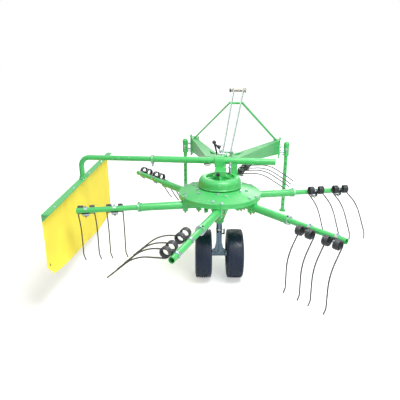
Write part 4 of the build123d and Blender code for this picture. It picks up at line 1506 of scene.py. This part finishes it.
@dataclass
class Curtain:
    """The hung cloth, its rivets and the bolts on its bar."""

    set_out: float = 0.0246
    near_end: float = -0.694
    far_end: float = 0.799
    near_drop: float = 0.374
    drop: float = 0.536
    level_from: float = 0.350
    top: float = 0.6365
    across_cells: int = 72
    down_cells: int = 26
    thickness: float = 0.0014
    gather: float = 0.9990
    corner_pull: Vector = field(default_factory=lambda: Vector((0.030, 0.002, 0.016)))
    held_row: float = 0.03
    held_corner: float = 0.026
    rivets: int = 9
    rivet_inset: float = 0.04
    frames: int = 60
    eyelet_spot: tuple[float, float] = (0.040, 0.052)
    eyelet: Matrix = field(default_factory=Matrix)

    @property
    def length(self) -> float:
        """The cloth's length along its bar."""
        return self.far_end - self.near_end

    @property
    def middle(self) -> float:
        """The middle of the cloth's length."""
        return (self.near_end + self.far_end) / 2

    def drop_at(self, along: float) -> float:
        """Return how far the cloth is cut to hang at a place along its bar."""
        share = min((along - self.near_end) / (self.level_from - self.near_end), 1.0)
        return self.near_drop + share * (self.drop - self.near_drop)

    def from_eyelet(self, vert: bpy.types.MeshVertex) -> float:
        """Return how far a point of the cloth lies from where the eyelet is set."""
        along, rise = self.eyelet_spot
        low = self.top - self.near_drop
        return math.hypot(vert.co.y - self.near_end - along, vert.co.z - low - rise)

    def sheet(self) -> bpy.types.Object:
        """Cut the flat cloth, with its own map, in the bar's own directions."""
        part = bmesh.new()
        part.loops.layers.uv.new("cloth")
        upright = Matrix(((0, 0, 1), (1, 0, 0), (0, 1, 0))).to_4x4()
        size = Matrix.Diagonal((self.length, 1.0, 1.0, 1.0))
        bmesh.ops.create_grid(
            part,
            x_segments=self.across_cells,
            y_segments=self.down_cells,
            size=0.5,
            matrix=at(-self.set_out, self.middle, -0.5) @ upright @ size,
            calc_uvs=True,
        )
        for vert in part.verts:
            vert.co.z = self.top + vert.co.z * self.drop_at(vert.co.y)
        return put("curtain_sheet", baked("curtain_sheet", part))

    def hold(self, made: bpy.types.Object) -> None:
        """Hold the top row and the near lower corner, and draw both to where they hang."""
        group = made.vertex_groups.new(name="held")
        made.shape_key_add(name="flat")
        drawn = made.shape_key_add(name="drawn")
        low = self.top - self.near_drop
        for vert in made.data.vertices:
            point = drawn.data[vert.index]
            if vert.co.z > self.top - self.held_row:
                point.co.y = self.middle + (point.co.y - self.middle) * self.gather
            elif math.hypot(vert.co.y - self.near_end, vert.co.z - low) < self.held_corner:
                point.co = point.co + self.corner_pull
            else:
                continue
            group.add([vert.index], 1.0, "REPLACE")
        for value, frame_number in ((0.0, 1), (1.0, self.frames // 2)):
            drawn.value = value
            drawn.keyframe_insert("value", frame=frame_number)

    def hang(self, made: bpy.types.Object) -> None:
        """Let the cloth fall into its folds and keep the result."""
        scene = bpy.context.scene
        cloth = made.modifiers.new("hang", "CLOTH")
        for name, value in CLOTH_SETTINGS.items():
            setattr(cloth.settings, name, value)
        cloth.point_cache.frame_start = 1
        cloth.point_cache.frame_end = self.frames
        for step in range(1, self.frames + 1):
            scene.frame_set(step)
        found = made.evaluated_get(bpy.context.evaluated_depsgraph_get())
        hung = bpy.data.meshes.new_from_object(found)
        made.modifiers.remove(cloth)
        made.shape_key_clear()
        made.animation_data_clear()
        made.data = hung
        scene.frame_set(1)
        hung.name = "curtain_sheet"

    def cloth(self) -> None:
        """Make the cloth piece and move it to its bar."""
        made = self.sheet()
        self.hold(made)
        self.hang(made)
        hole = min(made.data.vertices, key=self.from_eyelet)
        self.eyelet = BAR @ aimed(hole.co.copy(), hole.normal.copy())
        made.data.transform(BAR)
        wall = made.modifiers.new("wall", "SOLIDIFY")
        wall.thickness = self.thickness
        wall.offset = 0.0
        soft = made.modifiers.new("soft", "SUBSURF")
        soft.levels = 1
        soft.render_levels = 1
        dress(made, CLOTH, "curtain", ("curtain_cloth",))

    def rivet_row(self) -> None:
        """Rivet the cloth along the bar, and every other gap on the bar's top."""
        shape = Shape()
        head = [(0, 0), (0.008, 0), (0.007, 0.0018), (0.004, 0.0030), (0, 0.0034)]
        step = (self.length - 2 * self.rivet_inset) / (self.rivets - 1)
        for index in range(self.rivets):
            along = self.near_end + self.rivet_inset + index * step
            spot = Vector((-self.set_out - 0.0009, along, self.top - 0.017))
            shape.turned(head, BAR @ aimed(spot, Vector((-1, 0, 0))), 18)
            if index % 2 == 0 and index < self.rivets - 1:
                shape.turned(head, BAR @ at(0.004, along + step / 2, self.top + 0.0005), 18)
        shape.piece("curtain_rivets", ZINC, "curtain")

    def trim(self) -> None:
        """Roll the socket's foot on the bar and close the bar's two ends."""
        shape = Shape()
        section = [(0.0206, 0.0), (0.0262, 0.0), (0.0240, 0.0035), (0.0206, 0.0055)]
        shape.hoop(section, BAR @ at(0, 0, self.top + 0.0005), 36)
        for along in (self.near_end - 0.0008, self.far_end + 0.0008):
            cap = BAR @ at(-0.0022, along, self.top - 0.0045)
            shape.block((0.0415, 0.0024, 0.0045), cap, 0.0005)
        shape.piece("bar_trim", GREEN, "curtain")

    def fittings(self) -> None:
        """Set the eyelet in the near corner, and the bolt that holds the bar's socket."""
        rim, bolt = Shape(), Shape()
        lip = [(0.0040, -0.0026), (0.0090, -0.0016), (0.0090, 0.0016), (0.0040, 0.0026)]
        rim.hoop(lip, self.eyelet, 20)
        rim.piece("curtain_eyelet", BLACK, "curtain")
        side = BAR @ Vector((0, -0.0205, self.top + 0.0095))
        bolt.bolt(aimed(side, Vector((0, -1, 0))), 0.008, False, 0.004)
        bolt.piece("socket_bolt", ZINC, "curtain")

    def build(self) -> None:
        """Build the cloth, its rivets and the fittings on its bar."""
        self.cloth()
        self.rivet_row()
        self.trim()
        self.fittings()


# Each lamp's name, its place from the rotor's axis on the ground, its side and its power in watts.
LAMPS = (
    ("key", (0.9, -1.2, 3.9), 1.8, 130.0),
    ("fill", (1.6, -3.0, 1.6), 2.4, 26.0),
    ("back", (0.6, 3.6, 2.6), 2.0, 40.0),
)


@dataclass
class Studio:
    """The camera, the pale floor and the soft lamps."""

    lens: float = 39.10
    sensor: float = 36.0
    tilt: float = math.radians(70.916)
    bank: float = 0.0007
    eye: Vector = field(default_factory=lambda: Vector((-0.127, -2.676, 1.473)))
    aim: Vector = field(default_factory=lambda: Vector((0, 0.1, 0.55)))
    floor_half: float = 30.0
    floor_height: float = -0.0006
    floor_glow: tuple[float, float] = (0.46, 0.70)
    glow_radii: tuple[float, float] = (1.2, 4.0)
    room_light: float = 0.36
    gloss_rise: tuple[float, float] = (0.06, 0.55)
    gloss_low: float = 0.04

    def camera(self) -> None:
        """Set up the camera."""
        data = bpy.data.cameras.new("camera")
        data.lens = self.lens
        data.sensor_width = self.sensor
        made = put("camera", data)
        made.location = ROTOR_CENTRE + self.eye
        made.rotation_euler = (self.tilt, self.bank, 0.0)
        bpy.context.scene.camera = made

    def floor(self) -> None:
        """Lay the floor, white to the eye and still dimmed by the rake's shadow."""
        part = bmesh.new()
        bmesh.ops.create_grid(part, x_segments=1, y_segments=1, size=self.floor_half)
        made = put("floor", baked("floor", part))
        made.location.z = self.floor_height
        paint = bpy.data.materials.new("floor_white")
        paint.use_nodes = True
        bench = NodeBench(paint.node_tree)
        rays = bench.add("ShaderNodeLightPath").outputs
        away = bench.add("ShaderNodeVectorMath", {0: bench.where()}, operation="LENGTH")
        spread = bench.ramp(away.outputs["Value"], *self.glow_radii)
        glow = bench.blend(spread, *self.floor_glow)
        shader = bench.add(
            "ShaderNodeBsdfPrincipled",
            {
                "Base Color": (0.86, 0.87, 0.87, 1),
                "Roughness": 0.9,
                "Specular IOR Level": 0.0,
                "Emission Color": (1, 1, 1, 1),
                "Emission Strength": bench.calc("MULTIPLY", rays["Is Camera Ray"], glow),
            },
        )
        bench.add("ShaderNodeOutputMaterial", {0: shader.outputs[0]})
        made.data.materials.append(paint)

    def sky(self) -> None:
        """Light the room evenly, white to the eye and darker towards the ground in gloss."""
        world = bpy.data.worlds.new("room")
        world.use_nodes = True
        bench = NodeBench(world.node_tree)
        rays = bench.add("ShaderNodeLightPath").outputs
        direct = bench.calc("MAXIMUM", rays["Is Camera Ray"], rays["Is Transmission Ray"])
        rise = bench.add("ShaderNodeSeparateXYZ", {0: bench.where("Generated")}).outputs[2]
        low = bench.blend(bench.ramp(rise, *self.gloss_rise), self.gloss_low, 1.0)
        glossy = bench.calc("MULTIPLY", rays["Is Glossy Ray"], low)
        level = bench.blend(bench.calc("MAXIMUM", direct, glossy), self.room_light, 1.0)
        sky = bench.add("ShaderNodeBackground", {"Color": (1, 1, 1, 1), "Strength": level})
        bench.add("ShaderNodeOutputWorld", {0: sky.outputs[0]})
        bpy.context.scene.world = world

    def lamp(self, name: str, spot: Vector, size: float, power: float) -> None:
        """Hang a square lamp that faces the rotor.

        Args:
            name: the lamp's name.
            spot: where it hangs, from the rotor's axis on the ground.
            size: its side.
            power: its power in watts.
        """
        data = bpy.data.lights.new(name, "AREA")
        data.shape = "SQUARE"
        data.size = size
        data.energy = power
        made = put(name, data)
        made.location = ROTOR_CENTRE + spot
        made.rotation_euler = (self.aim - spot).to_track_quat("-Z", "Y").to_euler()

    def build(self) -> None:
        """Set the camera, the floor and the lamps."""
        bpy.context.scene.view_settings.view_transform = "Standard"
        self.camera()
        self.floor()
        self.sky()
        for name, spot, size, power in LAMPS:
            self.lamp(name, Vector(spot), size, power)


def paint_frame() -> None:
    """Give every carried-over node its own finish, or else that of its slot."""
    slots = {entry["node"]: entry["material_slot"] for entry in frame["record"]["subparts"]}
    for name, made in frame["nodes"].items():
        finish = OWN_FINISHES.get(name, SLOT_FINISHES[slots[name]])
        made.data.materials.clear()
        made.data.materials.append(finish.material())


def main() -> None:
    """Build the whole scene."""
    logging.basicConfig(level=logging.INFO, format="%(message)s")
    Studio().build()
    paint_frame()
    for place in ARMS:
        TineArm(place).build()
    Rotor().build()
    Gearbox().build()
    Undercarriage().build()
    Headstock().build()
    Curtain().build()


if __name__ == "__main__":
    main()
